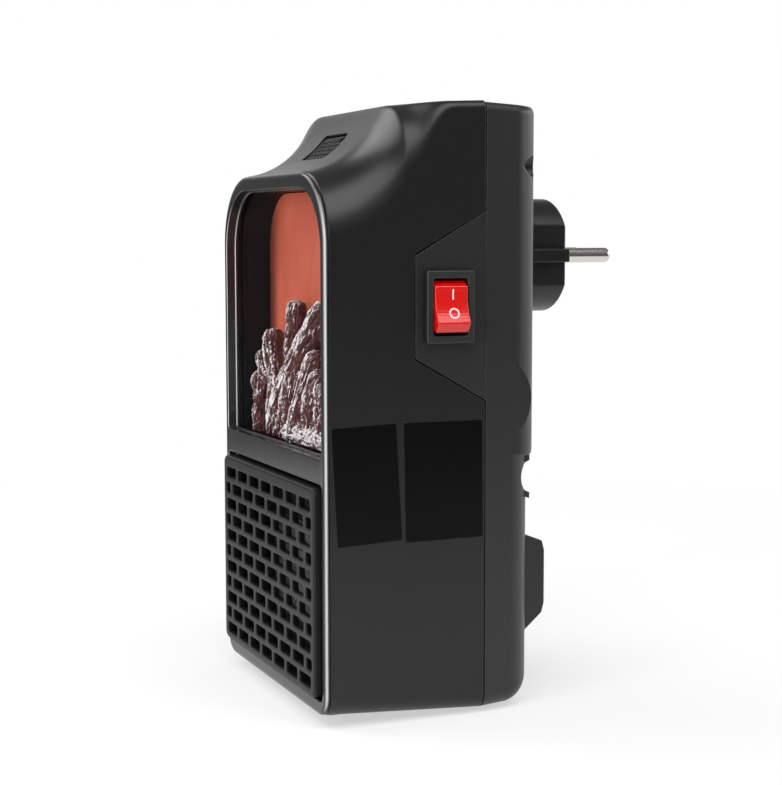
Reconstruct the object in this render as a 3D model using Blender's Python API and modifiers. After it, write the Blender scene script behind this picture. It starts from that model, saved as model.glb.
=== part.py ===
"""Plug-in fan heater with a flame window, as separate pieces. Metres, +Z up, front towards -Y.

The origin is the middle of the front shell's standing pad. The housing splits at the parting plane
into a front shell and a rear shell. The plug axis and the fan axis run along Y.
"""
import math

import bmesh
import bpy
from mathutils import Matrix, Vector

# Housing
BODY_WIDTH = 0.0914
FRONT_DEPTH = 0.0506
REAR_DEPTH = 0.0196
PARTING_Y = 0.0230
PARTING_HEIGHT = 0.1809
CREST_DROP = 0.0011
REAR_TOP_DROP = 0.0014
FRONT_LIFT = 0.0034
PARTING_LIFT = 0.0007
WALL = 0.0018
FIT_GAP = 0.0003
RUNNING_GAP = 0.00008
SEAM_GAP = 0.0004
OVERRUN = 0.0060
SHELL_EDGE_ROUND = 0.0012
SEAM_LIP = 0.0010
SEAM_LIP_REACH = 0.0022
INNER_RADIUS = 0.0010

# Scooped top: a hollow quarter round between the bezel's top and the crest
SCOOP_RADIUS = 0.0310
SCOOP_AXIS_BACK = -0.0028
SCOOP_AXIS_RISE = 0.0113
CREST_ROUND = 0.0006
CREST_FADE_SHARE = 1.6
TOP_STATION_SHARES = (0.14, 0.30, 0.50, 0.74)
FRONT_TOP_RADIUS = 0.0215
CREST_TOP_RADIUS = 0.0210
PARTING_TOP_RADIUS = 0.0025
FRONT_BOTTOM_RADIUS = 0.0070
PARTING_BOTTOM_RADIUS = 0.0050

# Rear shell
REAR_CORNER_RADIUS = 0.0100
REAR_FOOT_RADIUS = 0.0095
REAR_TOP_EDGE_RADIUS = 0.0014
REAR_TOP_FALL = 0.0010
REAR_FOOT_SLOPE_SHARE = 0.06
REAR_STATION_SHARES = (0.22, 0.44, 0.66, 0.86, 1.0)
LOWER_REAR_SETBACK = 0.0020
STEP_HEIGHT = 0.0762
STEP_RISE = 0.0038
REAR_CHANNEL_HEIGHT = 0.0698
REAR_CHANNEL_RADIUS = 0.0050
REAR_CHANNEL_DEPTH = 0.0046
CORNER_DRUM_RADIUS = 0.0143
CORNER_DRUM_HEIGHT = 0.0938
CORNER_DRUM_INSET = 0.0005
CORNER_DRUM_BACK = 0.0012
SPACER_WIDTH = 0.0700
SPACER_REACH = 0.0084
SPACER_CROWN = 0.0008
SPACER_SLOPE = 0.0030
SPACER_LOW = 0.0193
SPACER_BASE_RISE = 0.0320
SPACER_FACE_LOW = 0.0258
SPACER_FACE_RISE = 0.0225
SPACER_EDGE = 0.0010
INTAKE_SLOTS = 9
INTAKE_SLOT_WIDTH = 0.0030
INTAKE_SLOT_PITCH = 0.0062
INTAKE_SLOT_MARGIN = 0.0020
INTAKE_SLOT_CORNER = 0.0010
TONGUE_REACH = 0.0224
TONGUE_RECESS = 0.0001
TONGUE_BACKING = 0.0008
TONGUE_BACKING_GAP = 0.00042
TONGUE_LAP = 0.0010
TONGUE_TOP = 0.1489
TONGUE_SHOULDER_TOP = 0.1362
TONGUE_SHOULDER_LOW = 0.1066
TONGUE_LOW = 0.0938

# Standing pads
PAD_WIDTH = 0.0620
PAD_LENGTH = 0.0420
REAR_PAD_LENGTH = 0.0070
REAR_PAD_START = 0.0010
PAD_EDGE = 0.0008
REAR_PAD_ROOT = 0.0020

# Shell screws and their deep recesses
SCREW_RECESS_RADIUS = 0.0031
SCREW_INSET = 0.0040
UPPER_SCREW_HEIGHT = 0.1621
LOWER_SCREW_HEIGHT = 0.0150
LOWER_SCREW_INSET = 0.0130
SCREW_RADIUS = 0.0015
SCREW_HEAD_RADIUS = 0.0027
SCREW_HEAD_HEIGHT = 0.0018
SCREW_LENGTH = 0.0160
SCREW_SLOT = 0.0007
SCREW_SLOT_DEPTH = 0.0008
SCREW_DOME_SHARE = 0.62
SLOT_REACH_SHARE = 0.60
BOSS_RADIUS = 0.0042
RECESS_FLOOR = 0.0025
BOSS_ROOT = 0.0150

# Bezel
BEZEL_THICKNESS = 0.0016
BEZEL_BAR = 0.0030
BEZEL_TOP_BAR = 0.0044
BEZEL_EDGE_ROUND = 0.0010
SILL_HEIGHT = 0.0783
MID_BAR = 0.0073
GRILLE_OPENING_LOW = 0.0079
REVEAL_DEPTH = 0.0036
REVEAL_WALL = 0.0009
OPENING_CORNER = 0.0016

# Window, flame screen, firebox and logs
PANE_THICKNESS = 0.0015
SCREEN_BEHIND = 0.0128
SCREEN_THICKNESS = 0.0012
LINER_WALL = 0.0012
LINER_DEPTH = 0.0210
LOG_SEAT = 0.0020
LOG_CORE_RADIUS = 0.0034
LOG_TAPER_SHARE = 0.86
LOG_HEAP_HEIGHT = 0.0430

# Each log: ends as shares of the firebox width and the heap's height, radius share, forward share
LOGS = (
    ("log_base_left", (-0.47, 0.10), (0.02, 0.17), 1.15, 0.80),
    ("log_base_right", (0.00, 0.11), (0.47, 0.09), 1.15, -0.50),
    ("log_back_left", (-0.46, 0.36), (0.10, 0.30), 1.05, 0.35),
    ("log_back_right", (-0.02, 0.32), (0.46, 0.38), 1.05, -0.90),
    ("log_lean_left", (-0.40, 0.16), (-0.16, 0.74), 0.95, -0.25),
    ("log_lean_mid", (-0.24, 0.20), (0.06, 0.90), 1.00, 0.60),
    ("log_tall", (0.20, 0.14), (0.13, 0.96), 1.02, -0.70),
    ("log_lean_right", (0.44, 0.18), (0.26, 0.80), 0.95, 0.95),
)

# Outlet grille
GRILLE_GAP = 0.0010
GRILLE_PROUD = 0.0020
GRILLE_PLATE = 0.0020
GRILLE_SKIRT = 0.0046
GRILLE_SKIRT_WALL = 0.0014
GRILLE_EDGE = 0.0009
GRILLE_CORNER = 0.0026
GRILLE_ROWS = 11
GRILLE_COLUMNS = 7
GRILLE_ROW_PITCH = 0.00518
GRILLE_COLUMN_PITCH = 0.01132
GRILLE_HOLE_WIDTH = 0.0092
GRILLE_HOLE_HEIGHT = 0.0034
GRILLE_LOW_ROW = 0.01287

# Slotted insert in the scoop
VENT_WIDTH = 0.0202
VENT_LENGTH = 0.0113
VENT_DEPTH = 0.0013
VENT_LEDGE = 0.0014
VENT_CORNER = 0.0018
VENT_BEHIND = 0.0184
VENT_THICKNESS = 0.0011
VENT_COLUMNS = 7
VENT_ROWS = 5
VENT_SLOT_WIDTH = 0.0014
VENT_SLOT_LENGTH = 0.0013
VENT_COLUMN_PITCH = 0.0025
VENT_ROW_PITCH = 0.0019
VENT_SLANT = 0.0005

# Mains plug
PLUG_HEIGHT = 0.1354
PLUG_RADIUS = 0.01815
PLUG_FLAT = 0.0156
PLUG_REACH = 0.0240
PLUG_EDGE = 0.0008
PLUG_RIB = 0.0041
PLUG_FLANGE_LAP = 0.0025
PLUG_FLANGE = 0.0020
PLUG_NECK_INSET = 0.0018
PIN_DIAMETER = 0.0048
PIN_LENGTH = 0.0190
PIN_SPACING = 0.0190
PIN_TAIL = 0.0050
PIN_TIP_ROUND = 0.0012
PLUG_SCREW_OFFSET = 0.0090
PLUG_SCREW_RADIUS = 0.0014
PLUG_SCREW_HEAD = 0.0025
PLUG_SCREW_LENGTH = 0.0090

# Rocker switch
SWITCH_HEIGHT = 0.12135
SWITCH_AHEAD = 0.0121
SWITCH_FLANGE_LENGTH = 0.0210
SWITCH_FLANGE_WIDTH = 0.0150
SWITCH_FLANGE = 0.0018
SWITCH_BODY_LENGTH = 0.0190
SWITCH_BODY_WIDTH = 0.0128
SWITCH_BODY_DEPTH = 0.0125
SWITCH_EDGE = 0.0006
ROCKER_LENGTH = 0.0154
ROCKER_WIDTH = 0.0104
ROCKER_SIDE_GAP = 0.0003
ROCKER_END_GAP = 0.0006
ROCKER_PIVOT_DEPTH = 0.0015
ROCKER_SKIRT = 0.0042
ROCKER_CREST = 0.0031
ROCKER_END = 0.0007
ROCKER_DISH = 0.0010
ROCKER_TILT = math.radians(12.0)
ROCKER_POCKET = 0.0092
ROCKER_FOOT_SHARE = 0.62
ROCKER_NOSE_SHARE = 0.70
ROCKER_DISH_SHARES = (0.75, 0.50, 0.25)
TRUNNION_RADIUS = 0.0010
TRUNNION_REACH = 0.0007
TERMINAL_WIDTH = 0.0048
TERMINAL_THICKNESS = 0.0008
TERMINAL_LENGTH = 0.0070
TERMINAL_PITCH = 0.0064
TERMINALS = 3

# Heater, duct and fan
DUCT_HEIGHT = 0.0388
DUCT_WIDTH = 0.0800
DUCT_RISE = 0.0560
DUCT_WALL = 0.0012
DUCT_CORNER = 0.0030
HEATER_BEHIND = 0.0126
HEATER_THICKNESS = 0.0120
FIN_WIDTH = 0.0660
FIN_PITCH = 0.0020
FIN_SHEET = 0.00030
FIN_ROWS = 3
FIN_ROW_RISE = 0.0079
BAR_RISE = 0.0024
HEATER_LOW = 0.0206
ELECTRODE_THICKNESS = 0.0010
TAB_WIDTH = 0.0048
TAB_INSET = 0.0030
TAB_REACH = 0.0060
FAN_BEHIND = 0.0264
SHROUD_THICKNESS = 0.0130
SHROUD_FACE = 0.0014
SHROUD_BORE = 0.0270
SHROUD_RING = 0.0014
IMPELLER_RADIUS = 0.0258
IMPELLER_BLADES = 7
IMPELLER_HUB = 0.0090
IMPELLER_DEPTH = 0.0090
IMPELLER_START = 0.0016
BLADE_THICKNESS = 0.0011
BLADE_LEAD = math.radians(33.0)
BLADE_TWIST = math.radians(18.0)
BLADE_STATION_SHARES = (0.0, 0.5, 1.0)
BLADE_CHORD_SHARE = 0.55
BLADE_ROOT_SHARE = 0.62
HUB_WALL = 0.0016
SHAFT_RADIUS = 0.0010
MOTOR_RADIUS = 0.0120
MOTOR_LENGTH = 0.0150
MOTOR_BOSS = 0.0030
MOTOR_BOSS_RISE = 0.0012
MOTOR_ARM = 0.0050
MOTOR_ARMS = 4
MOTOR_PLATE = 0.0014
MOTOR_ARM_DEPTH = 0.0021
MOTOR_CUP_RADIUS = 0.0136
MOTOR_CUP_RISE = 0.0040

# Guide ribs inside the front shell
RAIL_THICKNESS = 0.0012
RAIL_REACH = 0.0024
RAIL_RISE = 0.0420
LINER_STOP_RISE = 0.0130

# Boards and small parts
BOARD_THICKNESS = 0.0016
BOARD_WIDTH = 0.0400
BOARD_RISE = 0.0480
BOARD_LOW = 0.0880
BOARD_BEHIND = 0.0340
BOARD_SHIFT = -0.0160
BOARD_POST = 0.0024
BOARD_MARGIN = 0.0030
LAMP_BOARD_WIDTH = 0.0560
LAMP_BOARD_RISE = 0.0120
LAMP_BOARD_LOW = 0.0860
LAMPS = 4
LAMP_RADIUS = 0.0025
LAMP_LENGTH = 0.0055
LAMP_PITCH = 0.0130
RELAY_WIDTH = 0.0150
RELAY_RISE = 0.0190
RELAY_DEPTH = 0.0120
CAPACITOR_RADIUS = 0.0050
CAPACITOR_LENGTH = 0.0110
CAPACITOR_EDGE = 0.0006
CUTOUT_RADIUS = 0.0060
CUTOUT_LENGTH = 0.0050
CUTOUT_SHIFT = -0.0180
WIRE_RADIUS = 0.0009
CUTOUT_BLADE_REACH = 0.0030
MOUNT_SCREW_RADIUS = 0.0011
MOUNT_SCREW_HEAD = 0.0022
MOUNT_SCREW_LENGTH = 0.0060

# Solder points on the board's rear, as shares of its width from the middle and of its rise
SWITCHED_POINT_SHARES = (0.38, 0.79)
NEUTRAL_POINT_SHARES = (0.10, 0.93)
HEATER_POINT_SHARES = (0.32, 0.24)
CUTOUT_POINT_SHARES = (0.10, 0.18)
MOTOR_LEFT_POINT_SHARES = (-0.24, 0.12)
MOTOR_RIGHT_POINT_SHARES = (-0.08, 0.12)

# Points that each lead passes on its way
LIVE_ROUTE = ((0.0100, 0.0270, 0.1350), (0.0160, 0.0190, 0.1320), (0.0215, 0.0128, 0.1286))
SWITCHED_ROUTE = ((0.0200, 0.0125, 0.1210), (0.0100, 0.0140, 0.1220), (0.0020, 0.0125, 0.1250))
NEUTRAL_ROUTE = ((-0.0098, 0.0260, 0.1350), (-0.0110, 0.0160, 0.1340), (-0.0118, 0.0110, 0.1330))
HEATER_LOW_ROUTE = ((0.0285, 0.0080, 0.0220), (0.0315, 0.0120, 0.0320), (0.0330, 0.0130, 0.0470),
                    (0.0330, 0.0130, 0.0670), (0.0250, 0.0120, 0.0820), (0.0090, 0.0120, 0.0950),
                    (-0.0010, 0.0112, 0.0992))
HEATER_HIGH_ROUTE = ((-0.0280, 0.0065, 0.0550), (-0.0300, 0.0060, 0.0640), (-0.0320, 0.0010, 0.0704),
                     (-0.0335, -0.0060, 0.0708), (-0.0315, -0.0115, 0.0698))
CUTOUT_ROUTE = ((-0.0050, -0.0115, 0.0703), (-0.0030, -0.0040, 0.0710), (-0.0045, 0.0030, 0.0725),
                (-0.0080, 0.0090, 0.0800), (-0.0115, 0.0118, 0.0900), (-0.0119, 0.0106, 0.0955))
MOTOR_ROUTE_LEFT = ((-0.0031, 0.0292, 0.0420), (-0.0040, 0.0315, 0.0450), (-0.0060, 0.0290, 0.0560),
                    (-0.0100, 0.0200, 0.0720), (-0.0220, 0.0130, 0.0860), (-0.0255, 0.0108, 0.0928))
MOTOR_ROUTE_RIGHT = ((0.0031, 0.0292, 0.0420), (0.0042, 0.0318, 0.0450), (0.0020, 0.0300, 0.0580),
                     (-0.0060, 0.0220, 0.0740), (-0.0160, 0.0140, 0.0870), (-0.0188, 0.0108, 0.0930))
LAMP_ROUTE = ((-0.0160, 0.0005, 0.0920), (-0.0160, 0.0030, 0.0925))
LAMP_LEAD_HEIGHT = 0.0920

# Facets, and the angles that part a smooth surface from an edge
WELD = 0.00001
SMOOTH_ANGLE = math.radians(40.0)
RIM_ANGLE = math.radians(50.0)
CORNER_STEPS = 7
FOOT_STEPS = 3
SMALL_STEPS = 2
ROUND_STEPS = 28
HOLE_STEPS = 12
LOG_STEPS = 10
LAMP_STEPS = 10
MOTOR_STEPS = 20
PIN_STEPS = 16
PLUG_STEPS = 12
SLOT_STEPS = 1
POST_STEPS = 12
SCREW_STEPS = 8
DRUM_STEPS = 36
SCOOP_STEPS = 8
HUB_STEPS = 24
TIP_STEPS = 3
LAMP_TIP_STEPS = 4

FRONT_Y = PARTING_Y - FRONT_DEPTH
REAR_Y = PARTING_Y + REAR_DEPTH
LOWER_REAR_Y = REAR_Y - LOWER_REAR_SETBACK
HALF_WIDTH = BODY_WIDTH / 2
CREST_HEIGHT = PARTING_HEIGHT - CREST_DROP
REAR_TOP_HEIGHT = PARTING_HEIGHT - REAR_TOP_DROP
SCOOP_AXIS_HEIGHT = CREST_HEIGHT + SCOOP_AXIS_RISE
BEZEL_BACK_Y = FRONT_Y + BEZEL_THICKNESS
SHELL_FRONT_Y = BEZEL_BACK_Y + FIT_GAP
CREST_Y = FRONT_Y + SCOOP_AXIS_BACK + math.sqrt(
    SCOOP_RADIUS ** 2 - SCOOP_AXIS_RISE ** 2)
SWITCH_Y = PARTING_Y - SWITCH_AHEAD
PLUG_FACE_Y = REAR_Y + PLUG_REACH

FRONT_VIEW = Matrix(((1, 0, 0, 0), (0, 0, -1, 0), (0, 1, 0, 0), (0, 0, 0, 1)))
SIDE_VIEW = Matrix(((0, 0, 1, 0), (1, 0, 0, 0), (0, 1, 0, 0), (0, 0, 0, 1)))
TO_REAR = Matrix.Rotation(-math.pi / 2, 4, "X")
TO_FRONT = Matrix.Rotation(math.pi / 2, 4, "X")

FINISHES = {
    "black_abs": ((0.018, 0.018, 0.019), 0.42, 0.0),
    "dark_abs": ((0.030, 0.031, 0.032), 0.38, 0.0),
    "grille_black": ((0.012, 0.012, 0.013), 0.45, 0.0),
    "clear": ((0.10, 0.10, 0.10), 0.05, 0.0),
    "flame_orange": ((0.48, 0.11, 0.06), 0.50, 0.0),
    "bark": ((0.16, 0.10, 0.08), 0.80, 0.0),
    "lamp_red": ((0.60, 0.02, 0.02), 0.20, 0.0),
    "nickel": ((0.72, 0.71, 0.69), 0.18, 1.0),
    "aluminium": ((0.75, 0.75, 0.76), 0.30, 1.0),
    "steel": ((0.45, 0.45, 0.46), 0.35, 1.0),
    "board_green": ((0.02, 0.12, 0.05), 0.50, 0.0),
    "board_blue": ((0.02, 0.08, 0.35), 0.45, 0.0),
    "heater_black": ((0.02, 0.02, 0.02), 0.60, 0.0),
    "wire_blue": ((0.02, 0.06, 0.30), 0.45, 0.0),
    "wire_brown": ((0.12, 0.05, 0.02), 0.45, 0.0),
    "wire_red": ((0.40, 0.02, 0.02), 0.45, 0.0),
    "part_grey": ((0.10, 0.10, 0.11), 0.50, 0.0),
}


def clear_scene():
    """Remove whatever the scene holds."""
    for item in list(bpy.data.objects):
        bpy.data.objects.remove(item, do_unlink=True)


def make_collection(name):
    group = bpy.data.collections.new(name)
    bpy.context.scene.collection.children.link(group)
    return group


clear_scene()
PARTS = make_collection("fan_heater")
CUTTERS = make_collection("fan_heater_cutters")


def finish(name):
    """The Principled material of that name, made once."""
    material = bpy.data.materials.get(name)
    if material is None:
        colour, roughness, metallic = FINISHES[name]
        material = bpy.data.materials.new(name)
        material.use_nodes = True
        shader = material.node_tree.nodes["Principled BSDF"]
        shader.inputs["Base Color"].default_value = (*colour, 1)
        shader.inputs["Roughness"].default_value = roughness
        shader.inputs["Metallic"].default_value = metallic
    return material


def add_object(name, mesh, surface, matrix=None):
    item = bpy.data.objects.new(name, mesh)
    PARTS.objects.link(item)
    if matrix is not None:
        item.matrix_world = matrix
    mesh.shade_smooth()
    mesh.set_sharp_from_angle(angle=SMOOTH_ANGLE)
    mesh.materials.clear()
    mesh.materials.append(finish(surface))
    return item


def mesh_from(bm, name):
    bmesh.ops.recalc_face_normals(bm, faces=bm.faces)
    mesh = bpy.data.meshes.new(name)
    bm.to_mesh(mesh)
    bm.free()
    return mesh


def set_aside(item):
    """Keep a cutter, or a shape that another piece takes in, out of the parts."""
    PARTS.objects.unlink(item)
    CUTTERS.objects.link(item)
    item.hide_render = True
    item.display_type = "WIRE"


def combine(target, others, operation):
    for other in others:
        modifier = target.modifiers.new(operation.lower(), "BOOLEAN")
        modifier.operation = operation
        modifier.solver = "EXACT"
        modifier.object = other
        set_aside(other)
    return target


def cut(target, *others):
    return combine(target, others, "DIFFERENCE")


def join(target, *others):
    return combine(target, others, "UNION")


def bevel(item, width, segments=2, angle=SMOOTH_ANGLE):
    modifier = item.modifiers.new("edge_round", "BEVEL")
    modifier.width = width
    modifier.segments = segments
    modifier.limit_method = "ANGLE"
    modifier.angle_limit = angle
    return item


def block(name, xs, ys, zs, surface="part_grey"):
    """A box between two values on each axis."""
    bm = bmesh.new()
    size = Vector((xs[1] - xs[0], ys[1] - ys[0], zs[1] - zs[0]))
    middle = Vector((xs[0] + xs[1], ys[0] + ys[1], zs[0] + zs[1])) / 2
    matrix = Matrix.Translation(middle) @ Matrix.Diagonal((*size, 1))
    bmesh.ops.create_cube(bm, size=1, matrix=matrix)
    return add_object(name, mesh_from(bm, name), surface)


def drum(name, radius, start, end, surface="part_grey", steps=ROUND_STEPS, end_radius=None):
    """A cylinder or cone from one point to another."""
    start, end = Vector(start), Vector(end)
    run = end - start
    turn = run.to_track_quat("Z", "Y").to_matrix().to_4x4()
    matrix = Matrix.Translation((start + end) / 2) @ turn
    bm = bmesh.new()
    last = radius if end_radius is None else end_radius
    bmesh.ops.create_cone(bm, cap_ends=True, segments=steps, radius1=radius, radius2=last,
                          depth=run.length, matrix=matrix)
    return add_object(name, mesh_from(bm, name), surface)


def baked(source, name, surface):
    """Turn a curve or a modified object into a welded mesh object in the same place."""
    bpy.context.view_layer.update()
    graph = bpy.context.evaluated_depsgraph_get()
    mesh = bpy.data.meshes.new_from_object(source.evaluated_get(graph))
    matrix = source.matrix_world.copy()
    bpy.data.objects.remove(source, do_unlink=True)
    bm = bmesh.new()
    bm.from_mesh(mesh)
    bmesh.ops.remove_doubles(bm, verts=bm.verts, dist=WELD)
    bmesh.ops.recalc_face_normals(bm, faces=bm.faces)
    bm.to_mesh(mesh)
    bm.free()
    mesh.name = name
    return add_object(name, mesh, surface, matrix)


def extruded(name, loops, first, last, view=FRONT_VIEW, surface="part_grey"):
    """A flat outline with holes, given thickness between two values along the view's axis."""
    curve = bpy.data.curves.new(name, "CURVE")
    curve.dimensions = "2D"
    curve.fill_mode = "BOTH"
    curve.extrude = abs(last - first) / 2
    for loop in loops:
        spline = curve.splines.new("POLY")
        spline.points.add(len(loop) - 1)
        for point, (u, v) in zip(spline.points, loop):
            point.co = (u, v, 0, 1)
        spline.use_cyclic_u = True
    source = bpy.data.objects.new(name + "_outline", curve)
    PARTS.objects.link(source)
    axis = view.to_3x3() @ Vector((0, 0, 1))
    middle = (first + last) / 2
    source.matrix_world = Matrix.Translation(Vector(abs(a) * middle for a in axis)) @ view
    return baked(source, name, surface)


def turned(name, profile, origin, view, steps=ROUND_STEPS, surface="part_grey"):
    """Spin a profile of (radius, height) points about the view's first axis through the origin."""
    mesh = bpy.data.meshes.new(name + "_profile")
    points = [(radius, 0, height) for radius, height in profile]
    mesh.from_pydata(points, [(i, i + 1) for i in range(len(points) - 1)], [])
    source = bpy.data.objects.new(name + "_profile", mesh)
    PARTS.objects.link(source)
    source.matrix_world = Matrix.Translation(origin) @ view
    screw = source.modifiers.new("turn", "SCREW")
    screw.steps = steps
    screw.render_steps = steps
    screw.use_merge_vertices = True
    screw.merge_threshold = WELD
    return baked(source, name, surface)


def wire(name, points, radius, surface):
    """A round wire through the points."""
    curve = bpy.data.curves.new(name, "CURVE")
    curve.dimensions = "3D"
    curve.bevel_depth = radius
    curve.bevel_resolution = 1
    curve.use_fill_caps = True
    spline = curve.splines.new("POLY")
    smooth = eased(points)
    spline.points.add(len(smooth) - 1)
    for point, place in zip(spline.points, smooth):
        point.co = (*place, 1)
    source = bpy.data.objects.new(name + "_route", curve)
    PARTS.objects.link(source)
    return baked(source, name, surface)


def eased(points, spans=2):
    """Points along a smooth curve through the given points."""
    route = [Vector(p) for p in points]
    padded = [2 * route[0] - route[1]] + route + [2 * route[-1] - route[-2]]
    result = []
    for i in range(1, len(padded) - 2):
        a, b, c, d = padded[i - 1:i + 3]
        for k in range(spans):
            t = k / spans
            result.append((2 * b + (c - a) * t + (2 * a - 5 * b + 4 * c - d) * t ** 2
                           + (3 * b - a - 3 * c + d) * t ** 3) / 2)
    return result + [route[-1]]


def arc(centre, radius, start, end, steps):
    """Points on an arc, with angles in degrees."""
    points = []
    for i in range(steps + 1):
        angle = math.radians(start + (end - start) * i / steps)
        points.append((centre[0] + radius * math.cos(angle), centre[1] + radius * math.sin(angle)))
    return points


def outline(half, low, high, low_radius, high_radius, low_steps=FOOT_STEPS, high_steps=CORNER_STEPS):
    """A rectangle with round corners, told apart at the bottom and at the top."""
    points = arc((-half + low_radius, low + low_radius), low_radius, 180, 270, low_steps)
    points += arc((half - low_radius, low + low_radius), low_radius, 270, 360, low_steps)
    points += arc((half - high_radius, high - high_radius), high_radius, 0, 90, high_steps)
    points += arc((-half + high_radius, high - high_radius), high_radius, 90, 180, high_steps)
    return points


def rounded(width, height, radius, centre=(0, 0), steps=SMALL_STEPS):
    """A rectangle with equal round corners about a centre."""
    loop = outline(width / 2, -height / 2, height / 2, radius, radius, steps, steps)
    return [(u + centre[0], v + centre[1]) for u, v in loop]


def loft(name, rings, surface):
    """A closed solid through rings of as many points each."""
    bm = bmesh.new()
    layers = [[bm.verts.new(point) for point in ring] for ring in rings]
    count = len(rings[0])
    for near, far in zip(layers, layers[1:]):
        for i in range(count):
            j = (i + 1) % count
            bm.faces.new((near[i], near[j], far[j], far[i]))
    bm.faces.new(layers[0])
    bm.faces.new(layers[-1])
    return add_object(name, mesh_from(bm, name), surface)


def share(y, start, end):
    """How far y lies from start to end, kept between 0 and 1."""
    return min(max((y - start) / (end - start), 0), 1)


def blend(a, b, t):
    return a + (b - a) * t


def scoop_height(y, inset):
    """Height of the hollow quarter round, or nothing behind its reach."""
    radius = SCOOP_RADIUS + inset
    across = y - (FRONT_Y + SCOOP_AXIS_BACK)
    if across >= radius:
        return None
    return SCOOP_AXIS_HEIGHT - math.sqrt(radius ** 2 - across ** 2)


def top_height(y, inset=0):
    """Top of the front shell's section, less an inset."""
    flat = blend(CREST_HEIGHT, PARTING_HEIGHT, share(y, CREST_Y, PARTING_Y)) - inset
    hollow = scoop_height(y, inset)
    if hollow is None or hollow > flat + 4 * CREST_ROUND:
        return flat
    if hollow < flat - 4 * CREST_ROUND:
        return hollow
    spread = math.exp((hollow - flat) / CREST_ROUND)
    return hollow - CREST_ROUND * math.log(1 + spread)


def top_radius(y):
    if y < CREST_Y:
        return blend(FRONT_TOP_RADIUS, CREST_TOP_RADIUS, share(y, FRONT_Y, CREST_Y))
    ease = (1 - share(y, CREST_Y, PARTING_Y)) ** CREST_FADE_SHARE
    return blend(PARTING_TOP_RADIUS, CREST_TOP_RADIUS, ease)


def bottom_height(y):
    return blend(FRONT_LIFT, PARTING_LIFT, share(y, FRONT_Y, PARTING_Y))


def bottom_radius(y):
    return blend(FRONT_BOTTOM_RADIUS, PARTING_BOTTOM_RADIUS, share(y, FRONT_Y, PARTING_Y))


def front_ring(y, inset=0, edge=0):
    """The front shell's section at y; edge draws it in evenly without moving the scoop."""
    loop = outline(HALF_WIDTH - inset - edge, bottom_height(y) + inset + edge, top_height(y, inset) - edge,
                   max(bottom_radius(y) - inset, INNER_RADIUS), max(top_radius(y) - inset, INNER_RADIUS))
    return [(x, y, z) for x, z in loop]


def front_stations(first):
    """Where the front shell's sections stand, closer along the scoop's round."""
    axis_y = FRONT_Y + SCOOP_AXIS_BACK
    start = math.asin((first - axis_y) / SCOOP_RADIUS)
    end = math.asin((CREST_Y - axis_y) / SCOOP_RADIUS)
    angles = [blend(start, end, i / SCOOP_STEPS) for i in range(SCOOP_STEPS + 1)]
    ys = [axis_y + SCOOP_RADIUS * math.sin(angle) for angle in angles]
    ys += [CREST_Y + CREST_ROUND, CREST_Y + 2 * CREST_ROUND]
    run = PARTING_Y - ys[-1]
    return ys + [ys[-1] + run * k for k in TOP_STATION_SHARES]


def front_solid(name, first, last, inset=0):
    """The closed solid of the front shell's outside, or of its hollow."""
    ys = [y for y in front_stations(first) if y < last - OVERRUN / 10] + [last]
    rings = []
    if inset == 0:
        rings = [front_ring(first, 0, SHELL_EDGE_ROUND / 2),
                 front_ring(first + SHELL_EDGE_ROUND / 4, 0, SHELL_EDGE_ROUND / 6)]
        ys[0] = first + SHELL_EDGE_ROUND
    rings += [front_ring(y, inset) for y in ys]
    return loft(name, rings, "black_abs")


def edge_inset(y, plane, radius):
    """How far a quarter round that ends at a plane has drawn in at y."""
    start = plane - radius
    if y <= start:
        return 0
    return radius - math.sqrt(max(radius ** 2 - (y - start) ** 2, 0))


def rear_ring(y, plane, inset=0, low=None):
    """The rear shell's section at y, for a rear face at the plane."""
    side = edge_inset(y, plane, REAR_CORNER_RADIUS - inset)
    foot = edge_inset(y, plane, REAR_FOOT_RADIUS - inset)
    crown = edge_inset(y, plane, max(REAR_TOP_EDGE_RADIUS - inset, INNER_RADIUS / 2))
    rise = REAR_FOOT_SLOPE_SHARE * (y - PARTING_Y)
    bottom = PARTING_LIFT + rise + foot + inset if low is None else low
    top = blend(REAR_TOP_HEIGHT + REAR_TOP_FALL, REAR_TOP_HEIGHT,
                share(y, PARTING_Y, REAR_Y)) - crown - inset
    radius = max(PARTING_BOTTOM_RADIUS - inset - foot / 2, INNER_RADIUS)
    if low is not None:
        radius = INNER_RADIUS
    loop = outline(HALF_WIDTH - inset - side, bottom, top, radius,
                   max(PARTING_TOP_RADIUS - inset, INNER_RADIUS))
    return [(x, y, z) for x, z in loop]


def rear_solid(name, first, plane, inset=0, low=None):
    """The closed solid of the rear shell's outside, or of its hollow, up to a rear plane."""
    radius = REAR_CORNER_RADIUS - inset
    start = plane - radius
    ys = [first, start]
    ys += [start + radius * math.sin(math.pi / 2 * k) for k in REAR_STATION_SHARES]
    rings = []
    for y in ys:
        if low is None:
            rings.append(rear_ring(y, plane, inset))
        else:
            rings.append(rear_ring(y, plane, inset, low + STEP_RISE * share(y, LOWER_REAR_Y, REAR_Y)))
    return loft(name, rings, "black_abs")


def tongue_loop(gap=0, back=0):
    """The trapezoid tongue as (y, z) points, grown by a gap and reaching back past the parting plane."""
    nose = PARTING_Y - TONGUE_REACH - gap
    root = PARTING_Y + back
    slope_top = (TONGUE_TOP - TONGUE_SHOULDER_TOP) / TONGUE_REACH
    slope_low = (TONGUE_SHOULDER_LOW - TONGUE_LOW) / TONGUE_REACH
    return [(nose, TONGUE_SHOULDER_LOW - gap), (root, TONGUE_LOW - gap - slope_low * back),
            (root, TONGUE_TOP + gap + slope_top * back), (nose, TONGUE_SHOULDER_TOP + gap)]


def upper_screws():
    return [(side * (HALF_WIDTH - SCREW_INSET), UPPER_SCREW_HEIGHT) for side in (-1, 1)]


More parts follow.
